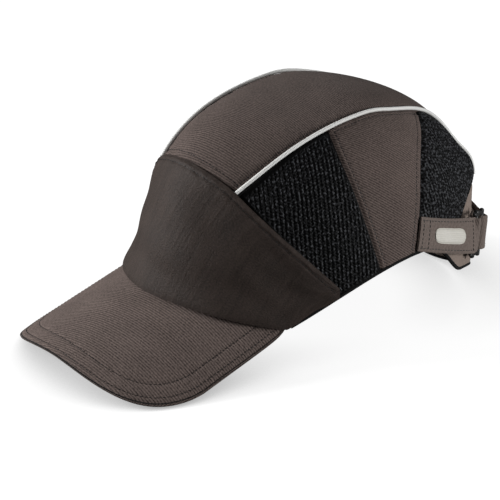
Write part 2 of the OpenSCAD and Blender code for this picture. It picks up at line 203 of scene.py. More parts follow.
def rim_t(angle):
    angle = np.asarray(angle, float)
    a = np.where(angle > 90, 180 - angle, np.where(angle < -90, -180 - angle, angle))
    climb = np.sin(np.radians(90 * (a + PEAK_START) / (RIM_EAR + PEAK_START)))
    fall = sum(share * smooth(first, last, a) for share, first, last in RIM_FALLS)
    z = np.where(a < RIM_EAR, mix(PEAK_END_Z, RIM_EAR_Z, climb), mix(RIM_EAR_Z, RIM_NAPE_Z, fall))
    return np.where(a < -PEAK_START, rim_t_front(a), t_of_z(z))


def rim_z(angle):
    return height_at(rim_t(angle))


def front_seam_t(angle):
    low_x, high_x = FRONT_SAG_X

    def over(t):
        p = dome(angle, t)
        sag = FRONT_SAG * np.maximum(0, np.sin(np.pi * (np.abs(p[..., 0]) - low_x) / (high_x - low_x)))
        return p[..., 2] - DOME_Z0 + FRONT_LEAN * p[..., 1] + FRONT_DROP + sag

    return root(over, np.shape(angle), 0.0, T_SEAM_HIGH)


def angle_run(a, b, height):
    """Edge from angle a to angle b, at the t that height gives for each angle."""
    def curve(s):
        angle = mix(a, b, np.asarray(s, float))
        return np.stack([angle, height(angle)], -1)
    return curve


def rim_run(a, b):
    return angle_run(a, b, rim_t)


def piping_x(arc):
    front_in, front_arc, front_span = PIPING_FRONT
    back_in, *back_arcs = PIPING_BACK
    foot_out, *foot_arcs = PIPING_FOOT
    front = front_in * (np.maximum(0, arc - front_arc) / front_span) ** 4
    return PIPING_X - front - back_in * smooth(*back_arcs, arc) + foot_out * smooth(*foot_arcs, arc)


def piping_at(arc):
    arc = np.asarray(arc, float)
    return crown_point(piping_x(arc), arc)


def piping_run(a, b):
    return lambda s: to_dome(piping_at(mix(a, b, np.asarray(s, float))))


front_seam = angle_run(CORNER_FRONT, CORNER_PIPING, front_seam_t)
PIPING_START = float(arc_of(dome(*front_seam(np.array(1.0)))))
NAPE_TOP = to_dome(piping_at(PIPING_END_ARC))


def seam1(s):
    foot = np.array([SEAM1_FOOT, rim_t(SEAM1_FOOT)])
    return mix(foot, to_dome(piping_at(SEAM1_TOP_ARC)), np.asarray(s, float)[..., None])


def seam2(s):
    s = np.asarray(s, float)
    top = to_dome(piping_at(SEAM2_TOP_ARC))
    bend = top[0] - SEAM2_FOOT - SEAM2_LEAN
    return np.stack([SEAM2_FOOT + SEAM2_LEAN * s + bend * s**6, mix(rim_t(SEAM2_FOOT), top[1], s)], -1)


def nape_seam(s):
    s = np.asarray(s, float)
    rise = s * (1 + NAPE_BOW - NAPE_BOW * s)
    return np.stack([mix(NAPE_FOOT, NAPE_TOP[0], s), mix(rim_t(NAPE_FOOT), NAPE_TOP[1], rise)], -1)


def across_from(curve, about):
    """The same edge on the other side of the cap. about is -180 over the front and 180 over the back."""
    return lambda s: curve(s) * [-1.0, 1.0] + [about, 0.0]


def blend_edges(foot, top, start, end, u, v):
    """Patch between four edges that are given as points, foot and top along u, start and end along v."""
    uu, vv = u[:, None, None], v[None, :, None]
    corners = mix(mix(foot[0], foot[-1], uu), mix(top[0], top[-1], uu), vv)
    return mix(foot[:, None], top[:, None], vv) + mix(start[None], end[None], uu) - corners


# ------------------------------------------------------------------ mesh building
FOOT, TOP, START, END = range(4)     # the edges of a patch, in the order that its distances have
EDGE_STEP = 1.5
WAVES = 7


def grid_normals(p):
    return unit(np.cross(np.gradient(p, axis=0), np.gradient(p, axis=1)))


def run_along(path):
    """Length from the start of a path to each of its points."""
    return np.concatenate([[0], np.cumsum(np.linalg.norm(np.diff(path, axis=0), axis=-1))])


def at_length(path, run, at):
    return np.stack([np.interp(at, run, path[:, c]) for c in range(path.shape[1])], -1)


def resample(path, spacing):
    run = run_along(path)
    count = max(3, int(round(run[-1] / spacing)) + 1)
    return at_length(path, run, np.linspace(0, run[-1], count))


def new_object(name, verts_mm, faces, material, uv=None, sharp=40):
    mesh = bpy.data.meshes.new(name)
    mesh.from_pydata((np.asarray(verts_mm) * MM).tolist(), [], faces)
    if uv is not None:
        layer = mesh.uv_layers.new(name="cloth")
        index = np.zeros(len(mesh.loops), np.int32)
        mesh.loops.foreach_get("vertex_index", index)
        layer.data.foreach_set("uv", np.asarray(uv, np.float32)[index].ravel())
    mesh.update()
    mesh.validate()
    mesh.polygons.foreach_set("use_smooth", [True] * len(mesh.polygons))
    mesh.set_sharp_from_angle(angle=math.radians(sharp))
    mesh.materials.append(material)
    obj = bpy.data.objects.new(name, mesh)
    bpy.context.scene.collection.objects.link(obj)
    return obj


def attach(obj, body, slot, *nodes):
    """Puts a piece on a body, with its colour slot and the CAD nodes that it stands in for."""
    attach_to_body(obj, body)
    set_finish(obj, slot)
    if nodes:
        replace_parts(obj, *nodes)
    return obj


def sheet_faces(nu, nv):
    """Faces of a closed sheet: an outer grid, an inner grid and the four walls between them."""
    i, j = np.meshgrid(np.arange(nu - 1), np.arange(nv - 1), indexing="ij")
    a = (i * nv + j).ravel()
    off = nu * nv
    outer = np.stack([a, a + nv, a + nv + 1, a + 1], -1)
    inner = outer[:, [0, 3, 2, 1]] + off

    def wall(line, forward):
        low, high = line[:-1], line[1:]
        ring = [low, low + off, high + off, high] if forward else [low, high, high + off, low + off]
        return np.stack(ring, -1)

    rows, columns = np.arange(nu) * nv, np.arange(nv)
    walls = [wall(rows, True), wall(rows + nv - 1, False)]
    walls += [wall(columns, False), wall(columns + rows[-1], True)]
    return np.concatenate([outer, inner, *walls]).tolist()


def closed_sheet(name, outer, inner, material, uv=None, sharp=40, flip=False):
    """A closed sheet between an outer and an inner grid of points."""
    verts = np.concatenate([outer.reshape(-1, 3), inner.reshape(-1, 3)])
    faces = sheet_faces(*outer.shape[:2])
    if flip:
        faces = [f[::-1] for f in faces]
    uvs = None if uv is None else np.concatenate([uv.reshape(-1, 2)] * 2)
    return new_object(name, verts, faces, material, uvs, sharp)


def edge_distances(p):
    """Distance in mm from every grid point to the foot, top, start and end edges."""
    flat = p.reshape(-1, 3)
    out = []
    for edge in (p[:, 0], p[:, -1], p[0], p[-1]):
        run = run_along(edge)
        fine = at_length(edge, run, np.linspace(0, run[-1], max(8, int(run[-1] / EDGE_STEP))))
        best = np.full(len(flat), 1e9)
        for a, b in zip(fine[:-1], fine[1:]):
            ab = b - a
            s = np.clip(((flat - a) @ ab) / max(ab @ ab, 1e-9), 0, 1)
            best = np.minimum(best, np.linalg.norm(flat - a - s[:, None] * ab, axis=1))
        out.append(best.reshape(p.shape[:2]))
    return out


def ripple(uv, scale, seed):
    """Smooth random relief between about -1 and 1, with features of the given size in mm."""
    rng = np.random.default_rng(seed)
    total = np.zeros(uv.shape[:-1])
    for _ in range(WAVES):
        turn, phase = rng.uniform(0, 2 * np.pi), rng.uniform(0, 2 * np.pi)
        size = scale * rng.uniform(0.7, 1.8)
        along = uv[..., 0] * math.cos(turn) + uv[..., 1] * math.sin(turn)
        total += np.sin(2 * np.pi * along / size + phase)
    return total / (WAVES / 2)


def flat_uv(p):
    """Lengths in mm across and up a patch, measured in the plane of its middle."""
    middle = p.shape[0] // 2, p.shape[1] // 2
    n = grid_normals(p)[middle]
    across = unit(np.cross([0.0, 0.0, 1.0], n))
    d = p - p[middle]
    return np.stack([d @ across, d @ np.cross(n, across)], -1)


def run_uv(p):
    """Lengths in mm along the rows from the middle column, and up the middle column."""
    middle = p.shape[0] // 2
    seg = np.linalg.norm(np.diff(p, axis=0), axis=-1)
    run = np.concatenate([np.zeros((1, p.shape[1])), np.cumsum(seg, axis=0)])
    run -= run[middle]
    return np.stack([run, np.broadcast_to(run_along(p[middle]), run.shape)], -1)


def tube_faces(n_path, n_round, closed=False):
    faces = []
    for i in range(n_path if closed else n_path - 1):
        a, b = i * n_round, ((i + 1) % n_path) * n_round
        faces += [[a + k, b + k, b + (k + 1) % n_round, a + (k + 1) % n_round] for k in range(n_round)]
    if not closed:
        faces += [list(range(n_round)), [(n_path - 1) * n_round + k for k in range(n_round)][::-1]]
    return faces


def sweep(name, path, out, profile, material, closed=False, scale=1.0):
    """A solid along a path. profile is a closed ring of (across, outward) lengths in mm."""
    if closed:
        along = unit(np.roll(path, -1, 0) - np.roll(path, 1, 0))
    else:
        along = unit(np.gradient(path, axis=0))
    out = unit(out - (out * along).sum(-1, keepdims=True) * along)
    across = np.cross(along, out)
    ring = np.asarray(profile, float)
    offset = across[:, None] * ring[None, :, :1] + out[:, None] * ring[None, :, 1:]
    verts = path[:, None] + offset * scale
    uv = np.stack(np.broadcast_arrays(run_along(path)[:, None], run_along(ring)[None, :]), -1)
    faces = tube_faces(len(path), len(ring), closed)
    return new_object(name, verts.reshape(-1, 3), faces, material, uv.reshape(-1, 2), 60)


def round_bar(width, height, corner, arc_steps=4):
    """Profile of a flat bar with rounded corners."""
    pts = []
    for cx, cy, first in ((1, 1, 0), (-1, 1, 90), (-1, -1, 180), (1, -1, 270)):
        for a in np.radians(first + 90 * steps(arc_steps + 1)):
            pts.append((cx * (width / 2 - corner) + corner * math.cos(a),
                        cy * (height / 2 - corner) + corner * math.sin(a)))
    return pts


def fine_ring(ring, spacing):
    """The same ring with points along its long sides too."""
    out = []
    for a, b in zip(ring, ring[1:] + ring[:1]):
        count = max(1, int(math.dist(a, b) / spacing))
        out += [(mix(a[0], b[0], i / count), mix(a[1], b[1], i / count)) for i in range(count)]
    return out


STITCH, STITCH_GAP, THREAD_R = 1.85, 0.65, 0.24
# Rings of one stitch: place along it, then radius and rise in thread radii.
STITCH_RINGS = ((0.0, 0.35, -0.9), (0.12, 0.9, 0.1), (0.5, 1.05, 0.5), (0.88, 0.9, 0.1), (1.0, 0.35, -0.9))
STITCH_SIDES = 6
STITCH_AIM = 0.5                     # how far before and behind a ring its direction is taken


def stitches(name, path, out, body, length=STITCH, gap=STITCH_GAP):
    """A row of raised thread stitches along a path, as one piece."""
    both = resample(np.concatenate([path, out], -1), 0.4)
    path, out = both[:, :3], unit(both[:, 3:])
    run = run_along(path)
    count = max(1, int(run[-1] / (length + gap)))
    pitch = run[-1] / count
    turns = circle(STITCH_SIDES)[:, None]
    verts, faces = [], []
    for k in range(count):
        for share, radius, rise in STITCH_RINGS:
            at = k * pitch + gap / 2 + share * (pitch - gap)
            n = unit(at_length(out, run, at))
            ahead = at_length(path, run, min(at + STITCH_AIM, run[-1]))
            behind = at_length(path, run, max(at - STITCH_AIM, 0))
            side = unit(np.cross(unit(ahead - behind), n))
            ring = radius * (np.cos(turns) * side + np.sin(turns) * n)
            verts.append(at_length(path, run, at) + THREAD_R * (n * rise + ring))
        base = k * len(STITCH_RINGS) * STITCH_SIDES
        faces += [[base + f for f in face] for face in tube_faces(len(STITCH_RINGS), STITCH_SIDES)]
    return attach(new_object(name, np.concatenate(verts), faces, DARK_THREAD_WITH_PAINTED_SHADE), body, "binding")


def mirror(pieces, body="cover"):
    """Copies finished pieces to the other side of the cap."""
    for piece in pieces:
        name = piece.name.replace("left", "right")
        mesh = piece.data.copy()
        mesh.name = name
        co = np.zeros(len(mesh.vertices) * 3, np.float32)
        mesh.vertices.foreach_get("co", co)
        co[::3] *= -1
        mesh.vertices.foreach_set("co", co)
        mesh.flip_normals()
        copy = bpy.data.objects.new(name, mesh)
        bpy.context.scene.collection.objects.link(copy)
        nodes = [n.replace("left", "right") for n in piece.get("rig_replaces", ())]
        attach(copy, body, piece["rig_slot"], *nodes)


# ------------------------------------------------------------------ materials
class Paint:
    """A procedural material. Each call adds a node and returns its output socket."""

    def __init__(self, name, roughness=0.8, specular=0.3, sheen=0.0, by_uv=True):
        self.mat = bpy.data.materials.new(name)
        self.mat.use_nodes = True
        self.tree = self.mat.node_tree
        self.bsdf = self.tree.nodes["Principled BSDF"]
        for socket, value in (("Roughness", roughness), ("Specular IOR Level", specular),
                              ("Sheen Weight", sheen), ("Sheen Roughness", 0.5)):
            self.bsdf.inputs[socket].default_value = value
        if by_uv:
            self.at = self.add("ShaderNodeUVMap", {}, uv_map="cloth").outputs["UV"]
        else:
            self.at = self.scaled(self.add("ShaderNodeTexCoord", {}).outputs["Object"], 1 / MM)
        self.u, self.v, _ = self.add("ShaderNodeSeparateXYZ", {0: self.at}).outputs

    def put(self, socket, value):
        if isinstance(value, bpy.types.NodeSocket):
            self.tree.links.new(value, socket)
        else:
            socket.default_value = value

    def add(self, kind, inputs, **settings):
        node = self.tree.nodes.new(kind)
        for key, value in settings.items():
            setattr(node, key, value)
        for key, value in inputs.items():
            self.put(node.inputs[key], value)
        return node

    def math(self, operation, a, b=0.0, c=0.0):
        return self.add("ShaderNodeMath", {0: a, 1: b, 2: c}, operation=operation).outputs[0]

    def times(self, a, b):
        return self.math("MULTIPLY", a, b)

    def scaled(self, at, scale):
        return self.add("ShaderNodeVectorMath", {0: at, 3: scale}, operation="SCALE").outputs[0]

    def turn(self, degrees):
        """Lengths across and along lines that lean by this many degrees from the v direction."""
        c, s = math.cos(math.radians(degrees)), math.sin(math.radians(degrees))
        across = self.math("ADD", self.times(self.u, c), self.times(self.v, s))
        along = self.math("SUBTRACT", self.times(self.v, c), self.times(self.u, s))
        return across, along

    def wave(self, length, period, shift=0.0):
        turned = self.math("MULTIPLY_ADD", length, 2 * math.pi / period, shift)
        return self.math("MULTIPLY_ADD", self.math("SINE", turned), 0.5, 0.5)

    def noise(self, size, detail=2.0, stretch=(1, 1, 1), at=None):
        """Cloudy noise with features of this size in mm, wider where stretch is less than 1."""
        factors = tuple(s / size for s in stretch)
        at = self.add("ShaderNodeVectorMath", {0: at or self.at, 1: factors}, operation="MULTIPLY")
        inputs = {"Vector": at.outputs[0], "Scale": 1.0, "Detail": detail}
        return self.add("ShaderNodeTexNoise", inputs).outputs[0]

    def cells(self, size, feature="F1", randomness=1.0):
        inputs = {"Vector": self.scaled(self.at, 1 / size), "Scale": 1.0, "Randomness": randomness}
        return self.add("ShaderNodeTexVoronoi", inputs, feature=feature).outputs[0]

    def blend(self, share, a, b):
        node = self.add("ShaderNodeMix", {0: share}, data_type="RGBA")
        self.put(node.inputs[6], (*a, 1.0) if isinstance(a, tuple) else a)
        self.put(node.inputs[7], (*b, 1.0) if isinstance(b, tuple) else b)
        return node.outputs[2]

    def total(self, *terms):
        """Sum of (socket, weight) pairs."""
        out = 0.0
        for socket, weight in terms:
            out = self.math("MULTIPLY_ADD", socket, weight, out)
        return out

    def spread(self, value, factor):
        """Widens a noise's narrow range about its middle, between 0 and 1."""
        out = self.math("MULTIPLY_ADD", value, factor, 0.5 - 0.5 * factor)
        out.node.use_clamp = True
        return out

    def done(self, colour, height, depth):
        """Sets the colour, and a bump of this depth in mm."""
        self.put(self.bsdf.inputs["Base Color"], colour)
        bump = self.add("ShaderNodeBump", {"Height": height, "Strength": 0.8, "Distance": depth * MM})
        self.put(self.bsdf.inputs["Normal"], bump.outputs[0])
        return self.mat

    def dyed(self, rgb, share, low, high, height, depth):
        """One colour that runs from a darker shade to a lighter one."""
        return self.done(self.blend(share, tint(rgb, low), tint(rgb, high)), height, depth)


def tint(rgb, factor):
    return tuple(c * factor for c in rgb)


def twill(name, rgb, lean, period=1.45, contrast=0.92, depth=0.25):
    """Ribbed cotton: diagonal ribs of twisted yarn, slightly uneven and worn."""
    paint = Paint(name, roughness=0.9, specular=0.15, sheen=0.02)
    across, along = paint.turn(lean)
    rib = paint.wave(across, period, paint.times(paint.noise(14.0, 1.0), 1.2))
    yarn = paint.wave(paint.math("ADD", along, across), period * 0.48)
    fuzz = paint.spread(paint.noise(1.15, 3.0), 2.4)
    wear = paint.spread(paint.noise(16.0, 3.0), 1.6)
    height = paint.total((rib, 0.7), (yarn, 0.15), (fuzz, 0.45))
    share = paint.total((rib, 0.42), (fuzz, 0.42), (wear, 0.16))
    return paint.dyed(rgb, share, 1 - contrast, 1 + contrast, height, depth)


def smooth_cloth(name, rgb, contrast, streak, depth, lean=0.0, roughness=0.75):
    """Fine plain weave with faint streaks, which lean from the upright by some degrees."""
    paint = Paint(name, roughness=roughness, specular=0.2, sheen=0.02)
    threads = paint.times(paint.wave(paint.u, 0.62), paint.wave(paint.v, 0.55))
    across, along = paint.turn(lean)
    leaning = paint.add("ShaderNodeCombineXYZ", {0: across, 1: along}).outputs[0]
    lines = paint.spread(paint.noise(streak, 2.0, (1, 0.09, 1), leaning), 1.8)
    cloud = paint.spread(paint.noise(11.0, 3.0, (1, 0.6, 1), leaning), 1.8)
    fuzz = paint.spread(paint.noise(1.1, 3.0), 2.3)
    height = paint.total((threads, 0.4), (fuzz, 0.5), (lines, 0.7))
    share = paint.total((lines, 0.26), (fuzz, 0.46), (cloud, 0.28))
    return paint.dyed(rgb, share, 1 - contrast, 1 + contrast, height, depth)


def knit(name, rgb, glint_gain):
    """Open spacer mesh: columns of loops with painted glints (painted highlights), and plain black where the
    bare attribute is 1.
    """
    paint = Paint(name, roughness=0.55, specular=0.09)
    column = paint.wave(paint.u, MESH_COLUMN, math.pi / 2)
    loop = paint.wave(paint.v, MESH_LOOP)
    fibre = paint.noise(0.6, 2.0)
    # painted glints: sparse bright specks in the colour that stand in for highlights on the loops
    glint = paint.math("POWER", paint.noise(1.1, 0.0, (1, 0.7, 1)), 9.0)
    bare = paint.add("ShaderNodeAttribute", {}, attribute_name="bare").outputs["Fac"]
    height = paint.total((column, 0.4), (loop, 0.3), (fibre, 0.6))
    plain = paint.times(column, paint.total((loop, 0.4), (fibre, 0.6)))
    painted_glints = paint.times(glint, paint.math("MULTIPLY_ADD", column, 0.75, 0.25))
    share = paint.times(paint.total((plain, 0.06), (painted_glints, glint_gain)), paint.math("SUBTRACT", 1.0, bare))
    return paint.done(paint.blend(share, tint(rgb, 0.3), PAINTED_GLINT), height, 0.15)


def ribbed_tape(name, rgb, period, contrast, roughness, specular):
    """Woven tape or cord cover with ribs across its length."""
    paint = Paint(name, roughness=roughness, specular=specular, sheen=0.1)
    rib = paint.wave(paint.u, period)
    fuzz = paint.noise(0.6, 2.0, (1, 0.4, 1))
    height = paint.total((rib, 0.7), (fuzz, 0.4))
    share = paint.total((rib, 0.6), (fuzz, 0.4))
    return paint.dyed(rgb, share, 1 - contrast, 1 + contrast, height, 0.12)


def thread(name, rgb):
    """Twisted sewing thread."""
    paint = Paint(name, roughness=0.5, specular=0.45, by_uv=False)
    strand = paint.noise(0.35, 1.0)
    return paint.dyed(rgb, strand, 0.6, 1.4, strand, 0.05)


def moulded(name, rgb, roughness, grain=0.5):
    """Injection-moulded plastic with a fine spark-eroded grain."""
    paint = Paint(name, specular=0.5, by_uv=False)
    fine = paint.noise(grain, 2.0)
    share = paint.total((fine, 0.5), (paint.noise(18.0, 2.0), 0.5))
    paint.put(paint.bsdf.inputs["Roughness"], paint.math("MULTIPLY_ADD", share, 0.22, roughness - 0.1))
    return paint.dyed(rgb, share, 0.8, 1.25, fine, 0.05)


def soft_foam(name, rgb):
    """Foam laminated with a brushed knit."""
    paint = Paint(name, roughness=0.95, specular=0.15, sheen=0.3, by_uv=False)
    cell, fuzz = paint.cells(1.1), paint.noise(0.5, 3.0)
    height = paint.total((cell, 0.8), (fuzz, 0.5))
    share = paint.total((cell, 0.5), (fuzz, 0.5))
    return paint.dyed(rgb, share, 0.7, 1.3, height, 0.2)


def towelling(name, rgb):
    """Terry loops of a sweatband."""
    paint = Paint(name, roughness=0.97, specular=0.1, sheen=0.4, by_uv=False)
    loop = paint.cells(0.9)
    height = paint.total((loop, -1.0), (paint.noise(0.4, 3.0), 0.5))
    return paint.dyed(rgb, loop, 1.5, 0.5, height, 0.3)


def pile(name, rgb, size, depth):
    """Hooks or loops of a touch fastener."""
    paint = Paint(name, roughness=0.7, specular=0.3, sheen=0.2)
    tuft, row = paint.cells(size), paint.wave(paint.u, size * 1.6)
    height = paint.total((tuft, -0.8), (row, 0.5))
    share = paint.total((tuft, 0.6), (row, 0.3))
    return paint.dyed(rgb, share, 2.0, 0.5, height, depth)


def reflective(name, rgb):
    """Retroreflective film with a fine cell pattern under a clear face."""
    paint = Paint(name, roughness=0.38, specular=0.5)
    line = paint.times(paint.cells(10 / 9, "DISTANCE_TO_EDGE", 0.0), 4.0)
    share = paint.total((line, 0.6), (paint.noise(2.0, 2.0), 0.5))
    return paint.dyed(rgb, share, 0.8, 1.06, line, 0.05)


MESH_COLUMN, MESH_LOOP = 2.5, 1.7    # pitch of the knitted columns, and of the loops along them
CORD_RIB = 0.95
# colour of the painted glints on the black mesh: painted highlights
PAINTED_GLINT = (0.066, 0.068, 0.074)
TAUPE = (0.100, 0.077, 0.069)
CROWN_CLOTH = twill("crown_twill", TAUPE, 95)
# Lit and shaded copies of the taupe: the side panels (1.15 times) and the peak's top (1.25 times) are lighter
# with painted light, the peak's underside (0.8 times) darker with painted shade.
SIDE_CLOTH = twill("side_twill", tint(TAUPE, 1.15), 50, 1.3, 0.85)
PEAK_CLOTH = twill("peak_twill", tint(TAUPE, 1.25), 100)
UNDER_CLOTH = twill("under_peak_twill", tint(TAUPE, 0.8), 0, 0.9)
STRAP_CLOTH = twill("strap_twill", (0.165, 0.133, 0.118), 20, 1.1, 0.45, 0.15)
FRONT_CLOTH = smooth_cloth("front_cloth", (0.038, 0.027, 0.0225), 0.75, 2.4, 0.3, -14.0, 0.6)
NAPE_CLOTH = smooth_cloth("stretch_cloth", (0.25, 0.200, 0.172), 0.3, 1.4, 0.1)
KNIT = knit("black_mesh", (0.005, 0.005, 0.0055), 34.0)
# The rear mesh's copy is slightly lighter and has stronger painted glints: painted light for the side light
# that falls on it.
REAR_KNIT = knit("black_rear_mesh", (0.006, 0.006, 0.0065), 75.0)
CORD = ribbed_tape("satin_cord", (0.84, 0.84, 0.82), CORD_RIB, 0.12, 0.42, 0.5)
TAPE = ribbed_tape("edge_tape", (0.006, 0.006, 0.0065), 0.8, 0.4, 0.85, 0.12)
# Dark thread, darkened further with painted shade: it stands in for the shade down in the stitch holes.
DARK_THREAD_WITH_PAINTED_SHADE = thread("dark_thread_with_painted_shade", (0.013, 0.011, 0.0105))
SHELL = moulded("shell_plastic", (0.022, 0.022, 0.024), 0.6)
BUCKLE = moulded("buckle_plastic", (0.012, 0.012, 0.012), 0.45, 0.35)
BOARD = moulded("peak_board_plastic", (0.10, 0.10, 0.10), 0.6)
FOAM = soft_foam("pad_foam", (0.16, 0.17, 0.18))
BAND = towelling("sweatband_towel", (0.02, 0.02, 0.022))
LOOP = pile("loop_pile", (0.012, 0.012, 0.013), 0.8, 0.35)
HOOK = pile("hook_pile", (0.015, 0.015, 0.016), 0.6, 0.25)
REFLECTIVE = reflective("reflective_film", (0.62, 0.60, 0.54))

# ------------------------------------------------------------------ cover panels
CLOTH_T = 1.3
SEAM_WIDTH = 1.5                     # how far a seam's dip reaches into the panel
GROOVE_DEPTH, GROOVE_WIDTH = 0.42, 0.9
PUCKER, PUCKER_LENGTH, PUCKER_REACH = 0.22, 7.0, 6.0
CALM = (2, 16)                       # distances from an edge over which the slow waves set in
TUCK = 2.0                           # degrees of the front mesh that lie under the front panel
BLUNT = 0.11                         # share of that mesh's front edge beside the panel's blunt end
SWELL, SWELL_X, SWELL_Z = 5.0, 36.0, 75.0
SWELL_UP, SWELL_DOWN, SWELL_WIDE = 9.0, 19.0, 17.0
SWELL_Y = (60, 90)                   # it sets in between these places
SWELL_WAY = np.array([0.45, 0.88, 0.12])
TILT = (-0.8, 0.5)                   # how far the top sits lower in front and higher behind
TILT_Y, TILT_Z = (-30, 40), (92, 112)
FRONT_PROUD, PROUD_REACH = 2.9, 12   # how far the front panel stands out at its seam, and how far in
FRONT_FLARE, FLARE_X = (-0.2, 2.2), (78, 62)     # the same at its foot, from the ends to the middle
PEAK_CORNER = (1.6, 46, 16)          # and beside the peak's corners: height, x and width
FRONT_FOLD = (1.6, 26, 13, 25, 34)   # a soft fold: height, then place and width up and across
FRONT_SINK = 0.4
CROWN_HEM, HEM_REACH = 0.3, 4.5
REAR_PUFF = (8, 24)                  # heights over the strap where the rear mesh puffs out
SIDE_TAPE, LOW_TAPE, TOP_TAPE = (2.6, 3.1), (0.6, 1.4), (2.0, 2.5)
PIT_DEPTH, LOOP_RISE, COLUMN_SWAY = 0.62, 0.08, 0.12
KNIT_LIFT, TAPE_LIFT = 0.1, 0.3


def swell(p):
    """The cover stands away from the insert where the nape gathers it, and its top tilts a little."""
    x, y, z = np.moveaxis(p, -1, 0)
    rise = z - SWELL_Z
    share = bell(rise, np.where(rise > 0, SWELL_UP, SWELL_DOWN)) * bell(np.abs(x) - SWELL_X, SWELL_WIDE)
    share = share * smooth(*SWELL_Y, y)
    way = SWELL_WAY * np.stack([np.sign(x), np.ones(x.shape), np.ones(x.shape)], -1)
    tilt = mix(*TILT, smooth(*TILT_Y, y)) * smooth(*TILT_Z, z)
    return p + way * (SWELL * share)[..., None] + np.array([0, 0, 1.0]) * tilt[..., None]


def dome_patch(foot, top, start, end, nu, nv):
    u, v = steps(nu), steps(nv)
    q = blend_edges(foot(u), top(u), start(v), end(v), u, v)
    return swell(dome(q[..., 0], q[..., 1]))


def row_on(p, n, dist, edge, off, clear):
    """Points and normals of a line that keeps its distance from one edge of a panel."""
    def from_edge(grid):
        turned = grid if edge in (FOOT, TOP) else np.swapaxes(grid, 0, 1)
        return turned[:, ::-1] if edge in (TOP, END) else turned

    field, points, normals = from_edge(dist[edge]), from_edge(p), from_edge(n)
    others = from_edge(np.minimum.reduce([d for k, d in enumerate(dist) if k != edge]))
    path, out = [], []
    for row, away in enumerate(np.maximum.accumulate(field, axis=1)):
        j = np.interp(off, away, np.arange(len(away)))
        k = min(int(j), len(away) - 2)
        s = j - k
        if mix(others[row, k], others[row, k + 1], s) < clear or off > away[-1]:
            if path:
                break
            continue
        path.append(mix(points[row, k], points[row, k + 1], s))
        out.append(mix(normals[row, k], normals[row, k + 1], s))
    return np.array(path), np.array(out)


def panel(name, node, p, uv, material, slot, dips, rows=(), bulge=0.0, bulge_reach=42.0, wave=(0.4, 48.0),
          form=None, detail=None, bare=None, seed=1):
    """A sewn panel. dips: how deep each edge sinks into its seam. rows: (edge, distance, clearance) of
    stitching. form changes the panel's relief, detail adds fine relief, bare marks its plain tape."""
    dist = edge_distances(p)
    near = np.minimum.reduce(dist)
    base = bulge * np.sin(np.pi / 2 * np.clip(near / bulge_reach, 0, 1))
    if form is not None:
        base = form(base, p, dist)
    for d, dip in zip(dist, dips):
        base = base - dip * bell(d, SEAM_WIDTH)
    base = base + wave[0] * ripple(uv, wave[1], seed) * smooth(*CALM, near)
    relief = base.copy()
    for edge, off, _ in rows:
        away = dist[edge]
        relief -= GROOVE_DEPTH * bell(away - off, GROOVE_WIDTH)
        pucker = ripple(uv, PUCKER_LENGTH, seed + 7) * bell(away, PUCKER_REACH)
        relief += PUCKER * pucker * smooth(0, SEAM_WIDTH, away)
    if detail is not None:
        relief += detail(uv, dist)
    n = grid_normals(p)
    outer = p + n * relief[..., None]
    obj = closed_sheet(name, outer, p + n * (base[..., None] - CLOTH_T), material, uv)
    if bare is not None:
        share = np.concatenate([bare(dist).ravel()] * 2).astype(np.float32)
        obj.data.attributes.new("bare", "FLOAT", "POINT").data.foreach_set("value", share)
    made = [attach(obj, "cover", slot, node)]
    for k, (edge, off, clear) in enumerate(rows):
        path, out = row_on(outer, n, dist, edge, off, clear)
        made.append(stitches(f"{name}_stitches_{k + 1}", path, out, "cover"))
    return made


def taped_front(dist):
    """1 on the smooth tape round the front mesh, 0 on the open mesh."""
    above = smooth(*SIDE_TAPE, np.minimum(dist[TOP], dist[START]))
    return 1 - above * smooth(*LOW_TAPE, np.minimum(dist[FOOT], dist[END]))


def taped_top(dist):
    """1 on the smooth tape beside the piping, 0 on the open mesh."""
    return 1 - smooth(*TOP_TAPE, dist[TOP])


def knit_relief(tape):
    """Pits between the loops of the spacer mesh, in columns that are offset by half a loop."""
    def relief(uv, dist):
        column = uv[..., 0] / MESH_COLUMN + COLUMN_SWAY * np.sin(2 * np.pi * uv[..., 1] / MESH_LOOP)
        shift = 0.5 * (np.floor(column) % 2)
        along = np.cos(2 * np.pi * (uv[..., 1] / MESH_LOOP + shift))
        pit = smooth(-0.2, 0.9, -np.cos(2 * np.pi * column) * 0.75 - along * 0.25)
        return mix(KNIT_LIFT - PIT_DEPTH * pit + LOOP_RISE * along, TAPE_LIFT, tape(dist))
    return relief


def blunt(s):
    """Short edge at the end of the front panel, from the rim up to its slanting seam."""
    ends = [np.array([CORNER_FRONT, height(np.array(CORNER_FRONT))]) for height in (rim_t, front_seam_t)]
    return mix(*ends, np.asarray(s, float)[..., None])


def make_front():
    far_corner = -180 - CORNER_FRONT
    p = dome_patch(rim_run(CORNER_FRONT, far_corner), angle_run(CORNER_FRONT, far_corner, front_seam_t),
                   blunt, across_from(blunt, -180), 250, 110)[::-1]

    def proud(base, p, dist):
        """The panel stands out at its upper seam, along its foot and in one soft fold."""
        x = np.abs(p[..., 0])
        corner, corner_x, corner_width = PEAK_CORNER
        fold, fold_z, fold_height, fold_x, fold_width = FRONT_FOLD
        flare = mix(*FRONT_FLARE, smooth(*FLARE_X, x)) + corner * bell(x - corner_x, corner_width)
        fold = fold * bell(dist[FOOT] - fold_z, fold_height) * bell(p[..., 0] - fold_x, fold_width)
        seams = FRONT_PROUD * bell(dist[TOP], PROUD_REACH) + flare * bell(dist[FOOT], PROUD_REACH)
        return base + seams + fold - FRONT_SINK

    panel("front_cloth", "front_panel", p, run_uv(p), FRONT_CLOTH, "front_cloth", (0.3, 1.0, 0.7, 0.7),
          [(TOP, 3.6, 2.0)], wave=(0.75, 34.0), form=proud, seed=3)


